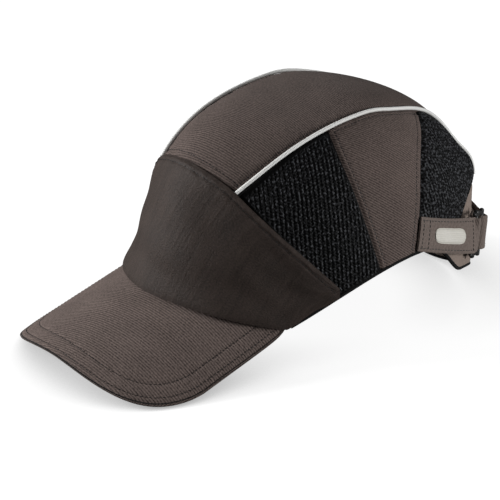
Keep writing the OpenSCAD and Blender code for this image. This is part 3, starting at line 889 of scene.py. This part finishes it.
def make_crown():
    """Laid out in lengths of x and angles of arc, between the two pipings."""
    u, v = steps(86), steps(240)
    a = mix(CORNER_PIPING, -180 - CORNER_PIPING, u)
    front = dome(a, front_seam_t(a))
    back = dome(mix(NAPE_TOP[0], 180 - NAPE_TOP[0], u), NAPE_TOP[1])
    foot, top = (np.stack([line[..., 0], arc_of(line)], -1) for line in (front, back))
    arc = mix(PIPING_START, PIPING_END_ARC, v)
    side = np.stack([piping_x(arc), arc], -1)
    q = blend_edges(foot, top, side, side * [-1, 1], u, v)
    p = swell(crown_point(q[..., 0], q[..., 1]))[::-1]

    def folded(uv, dist):
        return CROWN_HEM * bell(dist[FOOT], HEM_REACH)

    panel("crown_cloth", "crown_panel", p, run_uv(p), CROWN_CLOTH, "twill", (1.5, 1.0, 1.1, 1.1),
          [(FOOT, 4.6, 2.0), (START, 3.4, 3.0), (END, 3.4, 3.0)], bulge=-0.2, wave=(0.2, 48.0),
          detail=folded, seed=5)


def make_front_mesh():
    def front_edge(s):
        s = np.asarray(s, float)
        low = blunt(np.clip(s / BLUNT, 0, 1))
        high = front_seam(np.clip((s - BLUNT) / (1 - BLUNT), 0, 1))
        tucked = np.stack([-TUCK * (1 - s**4), 0 * s], -1)
        return np.where((s < BLUNT)[..., None], low, high) + tucked

    top = piping_run(PIPING_START, SEAM1_TOP_ARC)
    p = dome_patch(rim_run(CORNER_FRONT - TUCK, SEAM1_FOOT), top, front_edge, seam1, 150, 210)
    mirror(panel("mesh_front_cloth_left", "mesh_front_left", p, flat_uv(p), KNIT, "mesh",
                 (0.4, 1.0, 0.9, 1.3), bulge=0.8, detail=knit_relief(taped_front), bare=taped_front, seed=11))


def make_side_panel():
    top = piping_run(SEAM1_TOP_ARC, SEAM2_TOP_ARC)
    p = dome_patch(rim_run(SEAM1_FOOT, SEAM2_FOOT), top, seam1, seam2, 80, 100)
    rows = [(START, 3.4, 2.0), (END, 4.6, 2.0), (TOP, 3.4, 2.0)]
    mirror(panel("side_cloth_left", "side_panel_left", p, flat_uv(p), SIDE_CLOTH, "twill",
                 (0.4, 1.0, 1.3, 1.3), rows, bulge=0.8, seed=13))


def make_rear_mesh():
    """This mesh puffs out over the strap, and lies flat under it."""
    def over_strap(base, p, dist):
        return base * smooth(*REAR_PUFF, above_strap(p))

    top = piping_run(SEAM2_TOP_ARC, PIPING_END_ARC)
    p = dome_patch(rim_run(SEAM2_FOOT, NAPE_FOOT), top, seam2, nape_seam, 190, 190)
    mirror(panel("mesh_rear_cloth_left", "mesh_rear_left", p, flat_uv(p), REAR_KNIT, "mesh",
                 (0.4, 1.0, 1.3, 1.2), bulge=2.0, bulge_reach=14.0, form=over_strap,
                 detail=knit_relief(taped_top), bare=taped_top, seed=17))


def make_nape():
    def height(angle):
        return np.full(angle.shape, NAPE_TOP[1])

    p = dome_patch(rim_run(NAPE_FOOT, 180 - NAPE_FOOT), angle_run(NAPE_TOP[0], 180 - NAPE_TOP[0], height),
                   nape_seam, across_from(nape_seam, 180), 200, 60)
    panel("nape_cloth", "nape_panel", p, run_uv(p), NAPE_CLOTH, "stretch_cloth", (0.4, 1.1, 0.9, 0.9),
          [(TOP, 3.0, 2.0)], bulge=0.6, seed=19)


CORD_R, CORD_LIFT, CORD_STEP, CORD_RIB_DEPTH = 1.1, 1.0, 0.3, 0.035
CORD_AIM_Z = 27.0                    # the cord faces away from a line across the cap at this height
TAPE_PROFILE = (1.9, 2.2, 0.8)       # width, height and corner
TAPE_INSET, TAPE_DROP = 1.0, 0.1


def make_piping():
    arc = np.linspace(PIPING_START - 0.6, PIPING_END_ARC + 1, 700)
    line = swell(piping_at(arc))
    along = unit(np.gradient(line, axis=0))
    out = unit(np.cross(along, np.cross(line - np.array([0, ARC_Y, CORD_AIM_Z]), along)))
    path = resample(np.concatenate([line + out * CORD_LIFT, out], -1), CORD_STEP)
    ribs = 1 + CORD_RIB_DEPTH * np.cos(2 * np.pi * np.arange(len(path)) * CORD_STEP / CORD_RIB)
    profile = [(CORD_R * math.cos(t), CORD_R * math.sin(t)) for t in circle(18)]
    cord = sweep("piping_cord_left", path[:, :3], path[:, 3:], profile, CORD, scale=ribs[:, None, None])
    mirror([attach(cord, "cover", "piping", "piping_left")])


def make_rim_tape():
    angle = np.linspace(-PEAK_START + 1.0, 180 + PEAK_START - 1.0, 420)
    low = dome(angle, t_of_z(rim_z(angle) - TAPE_DROP), TAPE_INSET)
    up = unit(dome(angle, t_of_z(rim_z(angle) + 2)) - dome(angle, t_of_z(rim_z(angle) - 2)))
    along = unit(np.gradient(low, axis=0))
    tape = sweep("rim_tape", low, np.cross(up, along), round_bar(*TAPE_PROFILE), TAPE)
    attach(tape, "cover", "binding", "rim_binding")


# ------------------------------------------------------------------ peak
PEAK_TOP, PEAK_UNDER = 0.5, 3.9      # depth of the peak's two outer faces under its own surface
PEAK_CLOTH_T = 0.7
PEAK_ROW, PEAK_EDGE_ROW = 11.2, 3.0
PEAK_GROOVES = ((PEAK_ROW, GROOVE_DEPTH), (PEAK_EDGE_ROW, 0.15))
PEAK_BOW = 2.0                       # how far the peak's sides bow out beside the cap
BOARD_INSET, BOARD_T, BOARD_GAP = 3.0, 1.7, 0.15
EDGE_BAR = (0.9, 0.8, 0.35)          # width, height and corner of the piped edge
EDGE_DROP = 0.95


def peak_points(u, v, inset=0.0):
    angle = mix(-PEAK_START - 0.6, -180 + PEAK_START + 0.6, u)
    rim = dome(angle, rim_t(angle), 3.0)[..., :2]
    turn = np.radians(mix(-3.0, -177.0, u))
    length = PEAK_REACH - inset + PEAK_SIDE_Y
    edge = np.stack([(PEAK_HALF_WIDTH - inset) * signed_pow(np.cos(turn), 2 / PEAK_POWER),
                     PEAK_SIDE_Y + length * signed_pow(np.sin(turn), 2 / PEAK_POWER)], -1)
    bow = PEAK_BOW * (1 - np.exp(-v / 0.08)) * (1 - 0.7 * v)
    ends = (bell(u, 0.07) - bell(1 - u, 0.07))[:, None] * bow[None, :]
    plan = mix(rim[:, None, :], edge[:, None, :], v[None, :, None])
    plan += np.stack([ends, -0.18 * np.abs(ends)], -1)
    return np.concatenate([plan, peak_z(plan[..., 0], plan[..., 1])[..., None]], -1)


def make_peak_cloth():
    v = np.concatenate([np.linspace(0, 0.9, 84)[:-1], np.linspace(0.9, 1, 26)])
    p = peak_points(steps(321), v)
    uv = p[..., :2]
    edges = edge_distances(p)
    rim = np.minimum.reduce(edges[1:])
    dist = [edges[FOOT], rim, *edges[2:]]
    n = grid_normals(p)
    for name, node, side, depth, close, reach, rows, material, seed in (
            ("peak_top_cloth", "peak_cover_top", 1, PEAK_TOP, 0.25, 1.5,
             (PEAK_ROW, PEAK_EDGE_ROW), PEAK_CLOTH, 23),
            ("peak_under_cloth", "peak_cover_under", -1, PEAK_UNDER, 1.75, 7.0,
             (PEAK_ROW,), UNDER_CLOTH, 29)):
        face = p - [0, 0, depth]
        base = 0.25 * ripple(uv, 40.0, seed) * smooth(4, 20, rim) - close * (1 - smooth(0, reach, rim))
        relief = base + 0.16 * ripple(uv, 8.0, seed + 1) * bell(rim - PEAK_ROW, 5)
        for off, groove in PEAK_GROOVES:
            relief -= groove * bell(rim - off, GROOVE_WIDTH)
        outer = face + n * side * relief[..., None]
        inner = face + n * side * (base[..., None] - PEAK_CLOTH_T)
        obj = closed_sheet(name, outer, inner, material, uv, flip=side < 0)
        attach(obj, "cover", "twill", node)
        for k, off in enumerate(rows):
            path, out = row_on(outer, n * side, dist, TOP, off, 2.0)
            stitches(f"{name}_stitches_{k + 1}", path, out, "cover")
    border = np.concatenate([p[0, :-1], p[:, -1], p[-1, ::-1][1:]])
    border = resample(border, 1.0) - [0, 0, PEAK_TOP + EDGE_DROP]
    upward = np.broadcast_to([0.0, 0.0, 1.0], border.shape)
    attach(sweep("peak_edge_seam", border, upward, round_bar(*EDGE_BAR), TAPE), "cover", "binding")


def make_peak_board():
    """The stiffening board, bevelled at its edge."""
    p = peak_points(steps(121), np.linspace(0.01, 1, 60), BOARD_INSET)
    rim = np.minimum.reduce(edge_distances(p)[1:])
    top = p - [0, 0, PEAK_TOP + PEAK_CLOTH_T + BOARD_GAP]
    thick = BOARD_T * mix(0.2, 1, smooth(0, 6, rim))
    obj = closed_sheet("peak_stiffener", top, top - grid_normals(p) * thick[..., None], BOARD, p[..., :2])
    attach(obj, "cover", "board", "peak_board")


# ------------------------------------------------------------------ straps and buckle
STRAP_W, STRAP_T = 20.0, 1.4
STRAP_MID_Z, STRAP_FALL, STRAP_MID_Y = 62.3, 0.36, 26.2
STRAP_ROOT, ROOT_TUCK = 5.6, 1.0     # angles of the strap's sewn end, and of what the side panel hides
STRAP_SQUARE = 0.2                   # degrees per mm, which keeps lines across the strap square to it
STRAP_Z = (7.0, 77.0)                # lowest and highest place of the strap's middle line
LAID = 0.7                           # lift of a strap that lies on the cover
BAR_ANGLE, BAR_LIFT, BAR_R, BAR_PITCH = 36.0, 6.4, 1.5, 13.0
BASE_END = 33.0                      # angle where the base strap leaves the cover for the inner bar
LOOP_IN = BAR_R + 0.4
PATCH_LIFT = LAID + STRAP_T + 0.25
TAIL_END, CLOSURE_END = 100.0, 173.5
TAIL_POINT, TAIL_NARROW = 5.0, 0.32  # length in degrees and depth of the tail's rounded end
ROW_IN = 1.9                         # distance of the stitch rows from a strap's edges
ACROSS = 33
WIDTHS = np.linspace(-0.5, 0.5, ACROSS) * STRAP_W


def above_strap(p):
    """Height of a point over the strap's middle line."""
    return p[..., 2] - (STRAP_MID_Z - STRAP_FALL * (p[..., 1] - STRAP_MID_Y))


def strap_z(angle):
    return root(lambda z: above_strap(dome(angle, t_of_z(z))), np.shape(angle), *STRAP_Z)


def strap_point(angle, lift, up=0.0):
    angle, lift, up = (a.astype(float) for a in np.broadcast_arrays(angle, lift, up))
    angle = angle + STRAP_SQUARE * np.cos(np.radians(angle)) * up
    return dome(angle, t_of_z(strap_z(angle) + up), -lift)


def bar_frame(along):
    """Axes of the buckle: along the strap, out of the cap, and along a bar."""
    yaw, tip = math.atan2(along[1], along[0]), math.asin(-along[2])
    cy, sy, ct, st = math.cos(yaw), math.sin(yaw), math.cos(tip), math.sin(tip)
    return np.array([[cy * ct, -sy, cy * st], [sy * ct, cy, sy * st], [-st, 0, ct]])


STRAP_WAY = unit(strap_point(BAR_ANGLE + 7, BAR_LIFT) - strap_point(BAR_ANGLE - 1, BAR_LIFT))
BAR_FRAME = bar_frame(STRAP_WAY)
INNER_BAR = strap_point(BAR_ANGLE, BAR_LIFT)
OUTER_BAR = INNER_BAR + BAR_PITCH * STRAP_WAY
OUTER_ANGLE = float(to_dome(OUTER_BAR)[0])
OUTER_LIFT = float(np.linalg.norm(OUTER_BAR - strap_point(OUTER_ANGLE, 0)))


def at_bar(point, local):
    return point + np.asarray(local, float) @ BAR_FRAME.T


def base_lift(a):
    return mix(LAID, BAR_LIFT + LOOP_IN, smooth(12, BAR_ANGLE - 1, a))


def tail_lift(a):
    return mix(OUTER_LIFT + LOOP_IN, PATCH_LIFT + 2.1, smooth(OUTER_ANGLE + 2, OUTER_ANGLE + 18, a))


def sleeve_grid(bar, side):
    """Outer face of the webbing that turns round a bar. side is -1 where it comes from the front."""
    r = LOOP_IN + STRAP_T
    turns = np.radians(np.linspace(0, 180, 19))
    arc = np.stack([-side * r * np.sin(turns), -r * np.cos(turns)], -1)
    path = np.concatenate([[(side * 4.0, -r), (side * 2.0, -r)], arc])
    local = np.concatenate([np.broadcast_to(path[:, None], (len(path), ACROSS, 2)),
                            np.broadcast_to(WIDTHS[None, :, None], (len(path), ACROSS, 1))], -1)
    return at_bar(bar, local)


def webbing(name, node, body, grid, thickness, width, material, slot, rows=(), seed=1):
    """A band of webbing from its outer face, with rounded edges and grooves for its rows of stitches."""
    n = grid_normals(grid)
    share = np.linspace(-1, 1, grid.shape[1])
    run = run_along(grid[:, grid.shape[1] // 2])
    uv = np.stack(np.broadcast_arrays(run[:, None], share[None, :] * width / 2), -1)
    side = (1 - np.abs(share)) * width / 2
    round_off = 0.5 * bell(side, 0.7)
    relief = 0.1 * ripple(uv, 16.0, seed) - round_off
    for off in rows:
        relief -= 0.18 * bell(side - off, 0.6)
    outer = grid + n * relief[..., None]
    inner = grid - n * (thickness - round_off)[:, None]
    attach(closed_sheet(name, outer, inner, material, uv, 50), body, slot, node)
    return outer, n


def strap(name, node, body, grid, seed):
    return webbing(name, node, body, grid, STRAP_T, STRAP_W, STRAP_CLOTH, "webbing", (ROW_IN,), seed)


def edge_rows(name, outer, n, keep, body):
    """Two rows of stitches along a strap, near its edges, over the kept stations."""
    for k, sign in enumerate((-1, 1)):
        j = (1 + sign * (1 - 2 * ROW_IN / STRAP_W)) / 2 * (ACROSS - 1)
        i = int(j)
        path = mix(outer[keep, i], outer[keep, i + 1], j - i)
        stitches(f"{name}_edge_stitches_{k + 1}", path, n[keep, i], body)


def cross_row(name, outer, n, station, body):
    """A row of stitches straight across a strap."""
    stitches(name, outer[station, 2:-2], n[station, 2:-2], body, length=1.7, gap=0.5)


def make_base_strap():
    """The strap on the left side, whose sewn end follows the side panel's seam."""
    seam = seam2(np.linspace(0, 0.6, 80))
    first = np.interp(strap_z(STRAP_ROOT) + WIDTHS, height_at(seam[:, 1]), seam[:, 0])
    first = first - ROOT_TUCK - STRAP_SQUARE * WIDTHS
    angles = mix(first[None, :], BASE_END, steps(90)[:, None])
    band = strap_point(angles, base_lift(angles) + STRAP_T, WIDTHS)
    back = np.linspace(BASE_END + 0.5, 24.0, 28)
    low = mix(BAR_LIFT - LOOP_IN - STRAP_T, base_lift(back) - STRAP_T - 0.1, smooth(35, 28, back))
    fold = strap_point(back[:, None], low[:, None], WIDTHS)
    grid = np.concatenate([band, sleeve_grid(INNER_BAR, -1), fold])
    outer, n = strap("strap_base_webbing", "strap_base", "cover", grid, 31)
    edge_rows("strap_base", outer, n, slice(2, 88), "cover")
    for place, station in (("root", 5), ("front", 15), ("buckle", 84)):
        cross_row(f"strap_base_{place}_stitches", outer, n, station, "cover")


def make_reflective_bar():
    """A plain bar with round ends on the base strap."""
    s = np.linspace(-0.985, 0.985, 61)
    angles = mix(13.5, 27.0, (s + 1) / 2)[:, None]
    half = 4.5 * (1 - np.abs(s) ** 7) ** (1 / 2.2)
    grid = strap_point(angles, base_lift(angles) + STRAP_T + 0.62, half[:, None] * np.linspace(-1, 1, 13))
    webbing("reflective_bar", "strap_tab", "cover", grid, 0.75, 9.0, REFLECTIVE, "reflective", seed=33)


def make_closure_strap():
    """The strap over the nape, from the buckle to the right side."""
    angles = np.linspace(OUTER_ANGLE + 2.8, CLOSURE_END, 220)
    grid = strap_point(angles[:, None], LAID + STRAP_T, WIDTHS)
    outer, n = strap("closure_webbing", "closure_strap", "cover", grid, 37)
    edge_rows("closure_strap", outer, n, slice(2, 218), "cover")
    cross_row("closure_strap_stitches", outer, n, 206, "cover")


def make_fasteners():
    along, across, width = 150, 41, STRAP_W - 4
    spots = np.stack(np.meshgrid(np.arange(along) * 0.6, np.arange(across) * 0.4, indexing="ij"), -1)
    tufts = 0.12 * ripple(spots, 1.6, 41)
    for name, node, first, last, lift, thick, material, body in (
            ("loop_fastener", "loop_patch", 66.0, 112.0, PATCH_LIFT + 0.9, 0.9, LOOP, "cover"),
            ("hook_fastener", "hook_patch", 72.0, TAIL_END - 2, PATCH_LIFT + 1.85, 0.8, HOOK, "tail")):
        angles = np.linspace(first, last, along)
        grid = strap_point(angles[:, None], lift, np.linspace(-0.5, 0.5, across) * width)
        grid = grid + grid_normals(grid) * tufts[..., None]
        webbing(name, node, body, grid, thick, width, material, "hook_and_loop", seed=43)


def make_tail():
    """The strap's free end, which turns round the outer bar and lies over the nape strap."""
    angles = np.linspace(OUTER_ANGLE + 3.6, TAIL_END, 110)
    s = np.clip((angles - (TAIL_END - TAIL_POINT)) / TAIL_POINT, 0, 1)
    narrow = (1 - TAIL_NARROW * s**4)[:, None]
    band = strap_point(angles[:, None], tail_lift(angles)[:, None] + STRAP_T, narrow * WIDTHS)
    grid = np.concatenate([sleeve_grid(OUTER_BAR, 1)[::-1], band])
    outer, n = strap("tail_webbing", "strap_tail", "tail", grid, 47)
    edge_rows("strap_tail", outer, n, slice(24, len(grid) - 12), "tail")
    for place, station in (("front", 30), ("end", len(grid) - 12)):
        cross_row(f"strap_tail_stitches_{place}", outer, n, station, "tail")


FRAME_H, RAIL = STRAP_W + 1.6, 2.2   # clear height inside the buckle, and width of its rails
RAIL_BAR = (RAIL, 3.0, 0.7, 5)       # width, height, corner and steps of a corner
RAIL_FRONT = 3.5                     # how far the rails reach in front of the inner bar
BAR_END, BAR_DOME = 1.3, 1.2
GRIP_HALF, GRIP_DEPTH, GRIP_PITCH = 10.0, 0.07, 1.6


def bar_solid(bar):
    """A round bar with domed ends and fine grip rings."""
    half = FRAME_H / 2 + RAIL + BAR_END
    turns = circle(24)
    quarter = np.linspace(0, np.pi / 2, 6)
    first, last = -half + BAR_DOME * (1 - np.cos(quarter)), half - BAR_DOME * (1 - np.sin(quarter))
    z = np.concatenate([first, np.linspace(-half + BAR_END, half - BAR_END, 60), last])
    end = np.clip((half - np.abs(z)) / BAR_DOME, 0, 1)
    radius = BAR_R * np.sqrt(1 - (1 - end) ** 2 * 0.9)
    radius += np.where(np.abs(z) < GRIP_HALF, GRIP_DEPTH * np.cos(2 * np.pi * z / GRIP_PITCH), 0)
    ring = np.stack([np.cos(turns), np.sin(turns)], -1) * radius[:, None, None]
    local = np.concatenate([ring, np.broadcast_to(z[:, None, None], (len(z), len(turns), 1))], -1)
    return at_bar(bar, local).reshape(-1, 3), [f[::-1] for f in tube_faces(len(z), len(turns))]


def rail_solid(side):
    """A waisted rail that joins the two bars at one end, with rounded ends."""
    x = np.linspace(-BAR_R - RAIL_FRONT, BAR_PITCH + BAR_R, 40)
    length = x[-1] - x[0]
    waist = 1 - 0.18 * np.sin(np.pi * (x - x[0]) / length)
    closing = np.sqrt(np.clip(1 - np.abs(2 * (x - x.mean()) / length) ** 8, 0.02, 1))
    ring = np.array(round_bar(*RAIL_BAR))
    along = np.broadcast_to(x[:, None], (len(x), len(ring)))
    thick = ring[:, 1] * (waist * closing)[:, None]
    local = np.stack([along, thick, side * (FRAME_H + RAIL) / 2 + ring[:, 0] * closing[:, None]], -1)
    return at_bar(INNER_BAR, local).reshape(-1, 3), tube_faces(len(x), len(ring))


def make_buckle():
    verts, faces, base = [], [], 0
    for v, f in (bar_solid(INNER_BAR), bar_solid(OUTER_BAR), rail_solid(-1), rail_solid(1)):
        verts.append(v)
        faces += [[i + base for i in face] for face in f]
        base += len(v)
    obj = new_object("buckle_moulding", np.concatenate(verts), faces, BUCKLE, sharp=35)
    attach(obj, "buckle", "buckle_plastic", "buckle")


# ------------------------------------------------------------------ insert
SHELL_OUT, SHELL_T, PAD_T = 3.2, 2.0, 4.0
PAD_OUT = SHELL_OUT + SHELL_T + 0.6
PAD_MOVE = 1.1                       # furthest that the padding may swell from its cut shape
PAD_FRAMES = 20
SHELL_EDGE_Z, SHELL_EDGE_TILT = 61.6, 11.0
CROWN_PAD_T = (0.8, 0.985)           # t at the crown pad's edge and at its innermost ring
BAND_BAR = (15.0, 2.2, 1.0)          # width, thickness and corner of the sweatband
BAND_CROWNING = 0.25
SHELL_ROUND, SHELL_CREASE = 0.4, 42  # bevel of the shell's edges, and degrees that count as an edge


def shell_edge_z(angle):
    return SHELL_EDGE_Z + SHELL_EDGE_TILT * np.sin(np.radians(angle))


def insert_dome(angle, t, depth):
    return dome(angle, t, depth, INSERT_BACK_FORM)


def inflate(obj, held):
    """Swells a cut pad like stuffed fabric. held are the vertices fixed against the shell."""
    rest = np.array([v.co for v in obj.data.vertices])
    group = obj.vertex_groups.new(name="held")
    group.add([int(i) for i in held], 1.0, "REPLACE")
    mod = obj.modifiers.new("cloth", "CLOTH")
    cloth = mod.settings
    cloth.quality = 6
    cloth.mass = 0.2
    cloth.tension_stiffness = cloth.compression_stiffness = 12
    cloth.bending_stiffness = 0.6
    cloth.use_pressure = True
    cloth.uniform_pressure_force = 4.0
    cloth.vertex_group_mass = "held"
    cloth.effector_weights.gravity = 0
    mod.point_cache.frame_start, mod.point_cache.frame_end = 1, PAD_FRAMES
    for frame_number in range(1, PAD_FRAMES + 1):
        bpy.context.scene.frame_set(frame_number)
    dg = bpy.context.evaluated_depsgraph_get()
    moved = np.array([v.co for v in obj.evaluated_get(dg).data.vertices])
    obj.modifiers.remove(mod)
    bpy.context.scene.frame_set(1)
    move = moved - rest
    size = np.linalg.norm(move, axis=1, keepdims=True)
    move *= np.minimum(1, PAD_MOVE * MM / np.maximum(size, 1e-9))
    obj.data.vertices.foreach_set("co", (rest + move).astype(np.float32).ravel())
    obj.data.update()


def refine(obj):
    """Bakes one level of subdivision into the mesh."""
    mod = obj.modifiers.new("round", "SUBSURF")
    mod.levels = mod.render_levels = 1
    dg = bpy.context.evaluated_depsgraph_get()
    mesh = bpy.data.meshes.new_from_object(obj.evaluated_get(dg))
    obj.modifiers.clear()
    obj.data = mesh
    mesh.polygons.foreach_set("use_smooth", [True] * len(mesh.polygons))


def finish_pad(obj, held, node):
    inflate(obj, held)
    refine(obj)
    return attach(obj, "insert", "foam", node)


def make_pads():
    """Front, side and rear pads inside the shell. Each is sewn down along two upright lines."""
    nv = 9
    for name, node, first, last, foot, top, nu in (
            ("front_padding", "front_pad", -52.0, -128.0, 10, 36, 37),
            ("side_padding_left", "side_pad_left", 34.0, -34.0, 10, 30, 25),
            ("rear_padding", "rear_pad", 122.0, 58.0, 10, 28, 33)):
        angle = np.broadcast_to(mix(first, last, steps(nu))[:, None], (nu, nv))
        t = t_of_z(shell_edge_z(angle) + mix(foot, top, steps(nv)))
        outer, inner = (insert_dome(angle, t, PAD_OUT + depth) for depth in (0, PAD_T))
        obj = closed_sheet(name, outer, inner, FOAM, sharp=180)
        held = list(range(nu * nv))
        for column in (nu // 3, nu - 1 - nu // 3):
            held += [nu * nv + column * nv + j for j in range(nv)]
        finish_pad(obj, held, node)
        if "left" in name:
            mirror([obj], "insert")


def make_crown_pad():
    """A disc on the inside of the shell's top, sewn down along one ring."""
    rings, around, sewn = 12, 48, 6
    verts, faces = [], []
    total = rings * around + 1
    for side in (0, 1):
        depth, base = PAD_OUT + side * PAD_T, side * total
        for k in range(rings):
            t = mix(*CROWN_PAD_T, (k / (rings - 1)) ** 0.8)
            verts.append(insert_dome(np.arange(around) * 360 / around, t, depth))
        verts.append(insert_dome([0.0], [1.0], depth))
        skin = []
        for k in range(rings - 1):
            for i in range(around):
                a, b = base + k * around + i, base + k * around + (i + 1) % around
                skin.append([a, b, b + around, a + around])
        last = base + (rings - 1) * around
        skin += [[last + i, last + (i + 1) % around, base + total - 1] for i in range(around)]
        faces += [face if side == 0 else face[::-1] for face in skin]
    for i in range(around):
        j = (i + 1) % around
        faces.append([i, i + total, j + total, j])
    obj = new_object("crown_padding", np.concatenate(verts), faces, FOAM, sharp=180)
    held = list(range(total)) + [total + sewn * around + i for i in range(around)]
    finish_pad(obj, held, "crown_pad")


def make_sweatband():
    angle = np.linspace(0, 360, 240, endpoint=False)
    edge = shell_edge_z(angle)
    middle = insert_dome(angle, t_of_z(edge + 0.5), PAD_OUT + 1.1)
    up = unit(insert_dome(angle, t_of_z(edge + 3), PAD_OUT) - insert_dome(angle, t_of_z(edge - 3), PAD_OUT))
    along = unit(np.roll(middle, -1, 0) - np.roll(middle, 1, 0))
    half = BAND_BAR[0] / 2
    ring = fine_ring(round_bar(*BAND_BAR), 1.5)
    ring = [(x, y * (1 + BAND_CROWNING * (1 - (x / half) ** 2))) for x, y in ring]
    band = sweep("sweatband_towel", middle, np.cross(along, up), ring, BAND, closed=True)
    attach(band, "insert", "sweatband", "sweatband")


def finish_shell():
    """The hard shell shows its own CAD shape, smoothed, with softened edges."""
    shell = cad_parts["hard_shell"]
    mesh = shell.data
    mesh.materials.clear()
    mesh.materials.append(SHELL)
    for name in ("custom_normal", "sharp_edge"):
        if name in mesh.attributes:
            mesh.attributes.remove(mesh.attributes[name])
    mesh.polygons.foreach_set("use_smooth", [True] * len(mesh.polygons))
    shell.modifiers.new("weld", "WELD").merge_threshold = 0.01 * MM
    bevel = shell.modifiers.new("soft_edges", "BEVEL")
    bevel.width, bevel.segments = SHELL_ROUND * MM, 2
    bevel.limit_method, bevel.angle_limit = "ANGLE", math.radians(40)
    shell.modifiers.new("crisp_edges", "EDGE_SPLIT").split_angle = math.radians(SHELL_CREASE)


# ------------------------------------------------------------------ stage, light and camera, in metres
FLOOR_HALF = 9.0
FLOOR_TINT = (0.16, 0.155, 0.15)     # what the object's underside sees
# The floor's glow is FLOOR_GLOW plus CONTACT_GLOW times ambient occlusion within CONTACT_REACH: a painted
# contact shadow.
FLOOR_GLOW, CONTACT_GLOW, CONTACT_REACH = 0.29, 0.62, 0.05
WORLD_LIGHT = 0.18
SOFTBOXES = (("key", (-0.92, -1.15, 0.62), 0.6, 28.5), ("side", (1.35, 0.85, 0.32), 0.6, 17.0),
             ("top", (0.3, 0.1, 1.6), 0.9, 0.8))
LIGHT_AIM = Vector((0, -0.02, 0.06))
AZIMUTH, ELEVATION = math.radians(51.9), math.radians(23.1)
CAMERA_AIM, CAMERA_DISTANCE = Vector((0, -0.0315, 0.065)), 1.365
SENSOR, LENS = 36.0, 170.07
CAMERA_SHIFT = (-0.0111, -0.0777)


def aim(obj, place, way):
    obj.location = place
    obj.rotation_mode = "QUATERNION"
    obj.rotation_quaternion = way.to_track_quat("-Z", "Y")
    bpy.context.scene.collection.objects.link(obj)


def make_floor():
    """A plain pale floor that glows for the camera. Its glow darkens a little under the object, a painted
    contact shadow, and it can't be seen from below.
    """
    mesh = bpy.data.meshes.new("floor")
    r = FLOOR_HALF
    mesh.from_pydata([(-r, -r, 0), (r, -r, 0), (r, r, 0), (-r, r, 0)], [], [(0, 1, 2, 3)])
    floor = bpy.data.objects.new("floor", mesh)
    bpy.context.scene.collection.objects.link(floor)
    paint = Paint("floor_paint", roughness=0.9, specular=0.0, by_uv=False)
    seen = paint.add("ShaderNodeLightPath", {}).outputs["Is Camera Ray"]
    shade = paint.blend(paint.noise(60.0), (0.24, 0.24, 0.24), (0.25, 0.25, 0.25))
    paint.put(paint.bsdf.inputs["Base Color"], paint.blend(seen, FLOOR_TINT, shade))
    paint.put(paint.bsdf.inputs["Emission Color"], (1, 1, 1, 1))
    # painted contact shadow: ambient occlusion dims the floor's glow near the object
    painted_shadow_ao = paint.add("ShaderNodeAmbientOcclusion", {"Distance": CONTACT_REACH}, samples=8).outputs["AO"]
    glow_with_painted_shadow = paint.math("MULTIPLY_ADD", painted_shadow_ao, CONTACT_GLOW, FLOOR_GLOW)
    paint.put(paint.bsdf.inputs["Emission Strength"], paint.times(seen, glow_with_painted_shadow))
    below = paint.add("ShaderNodeNewGeometry", {}).outputs["Backfacing"]
    clear = paint.add("ShaderNodeBsdfTransparent", {}).outputs[0]
    one_way = paint.add("ShaderNodeMixShader", {0: below, 1: paint.bsdf.outputs[0], 2: clear}).outputs[0]
    paint.put(paint.tree.nodes["Material Output"].inputs["Surface"], one_way)
    floor.data.materials.append(paint.mat)


def make_lights():
    world = bpy.data.worlds.new("studio")
    bpy.context.scene.world = world
    world.use_nodes = True
    background = world.node_tree.nodes["Background"].inputs
    background["Color"].default_value = (1, 1, 1, 1)
    background["Strength"].default_value = WORLD_LIGHT
    for name, place, size, power in SOFTBOXES:
        light = bpy.data.lights.new(name, "AREA")
        light.shape, light.size, light.energy = "DISK", size, power
        aim(bpy.data.objects.new(name, light), place, LIGHT_AIM - Vector(place))


def make_camera():
    """Three-quarter view from the front left, a little above."""
    back = Vector((math.sin(AZIMUTH) * math.cos(ELEVATION), -math.cos(AZIMUTH) * math.cos(ELEVATION),
                   math.sin(ELEVATION)))
    data = bpy.data.cameras.new("camera")
    data.sensor_width, data.lens = SENSOR, LENS
    data.shift_x, data.shift_y = CAMERA_SHIFT
    data.clip_start, data.clip_end = 0.05, 50
    camera = bpy.data.objects.new("camera", data)
    aim(camera, CAMERA_AIM + back * CAMERA_DISTANCE, -back)
    bpy.context.scene.camera = camera
    bpy.context.scene.view_settings.view_transform = "Standard"


for make in (make_front, make_crown, make_front_mesh, make_side_panel, make_rear_mesh, make_nape,
             make_piping, make_rim_tape, make_peak_cloth, make_peak_board, make_base_strap,
             make_reflective_bar, make_closure_strap, make_fasteners, make_tail, make_buckle,
             make_pads, make_crown_pad, make_sweatband, finish_shell, make_floor, make_lights, make_camera):
    make()
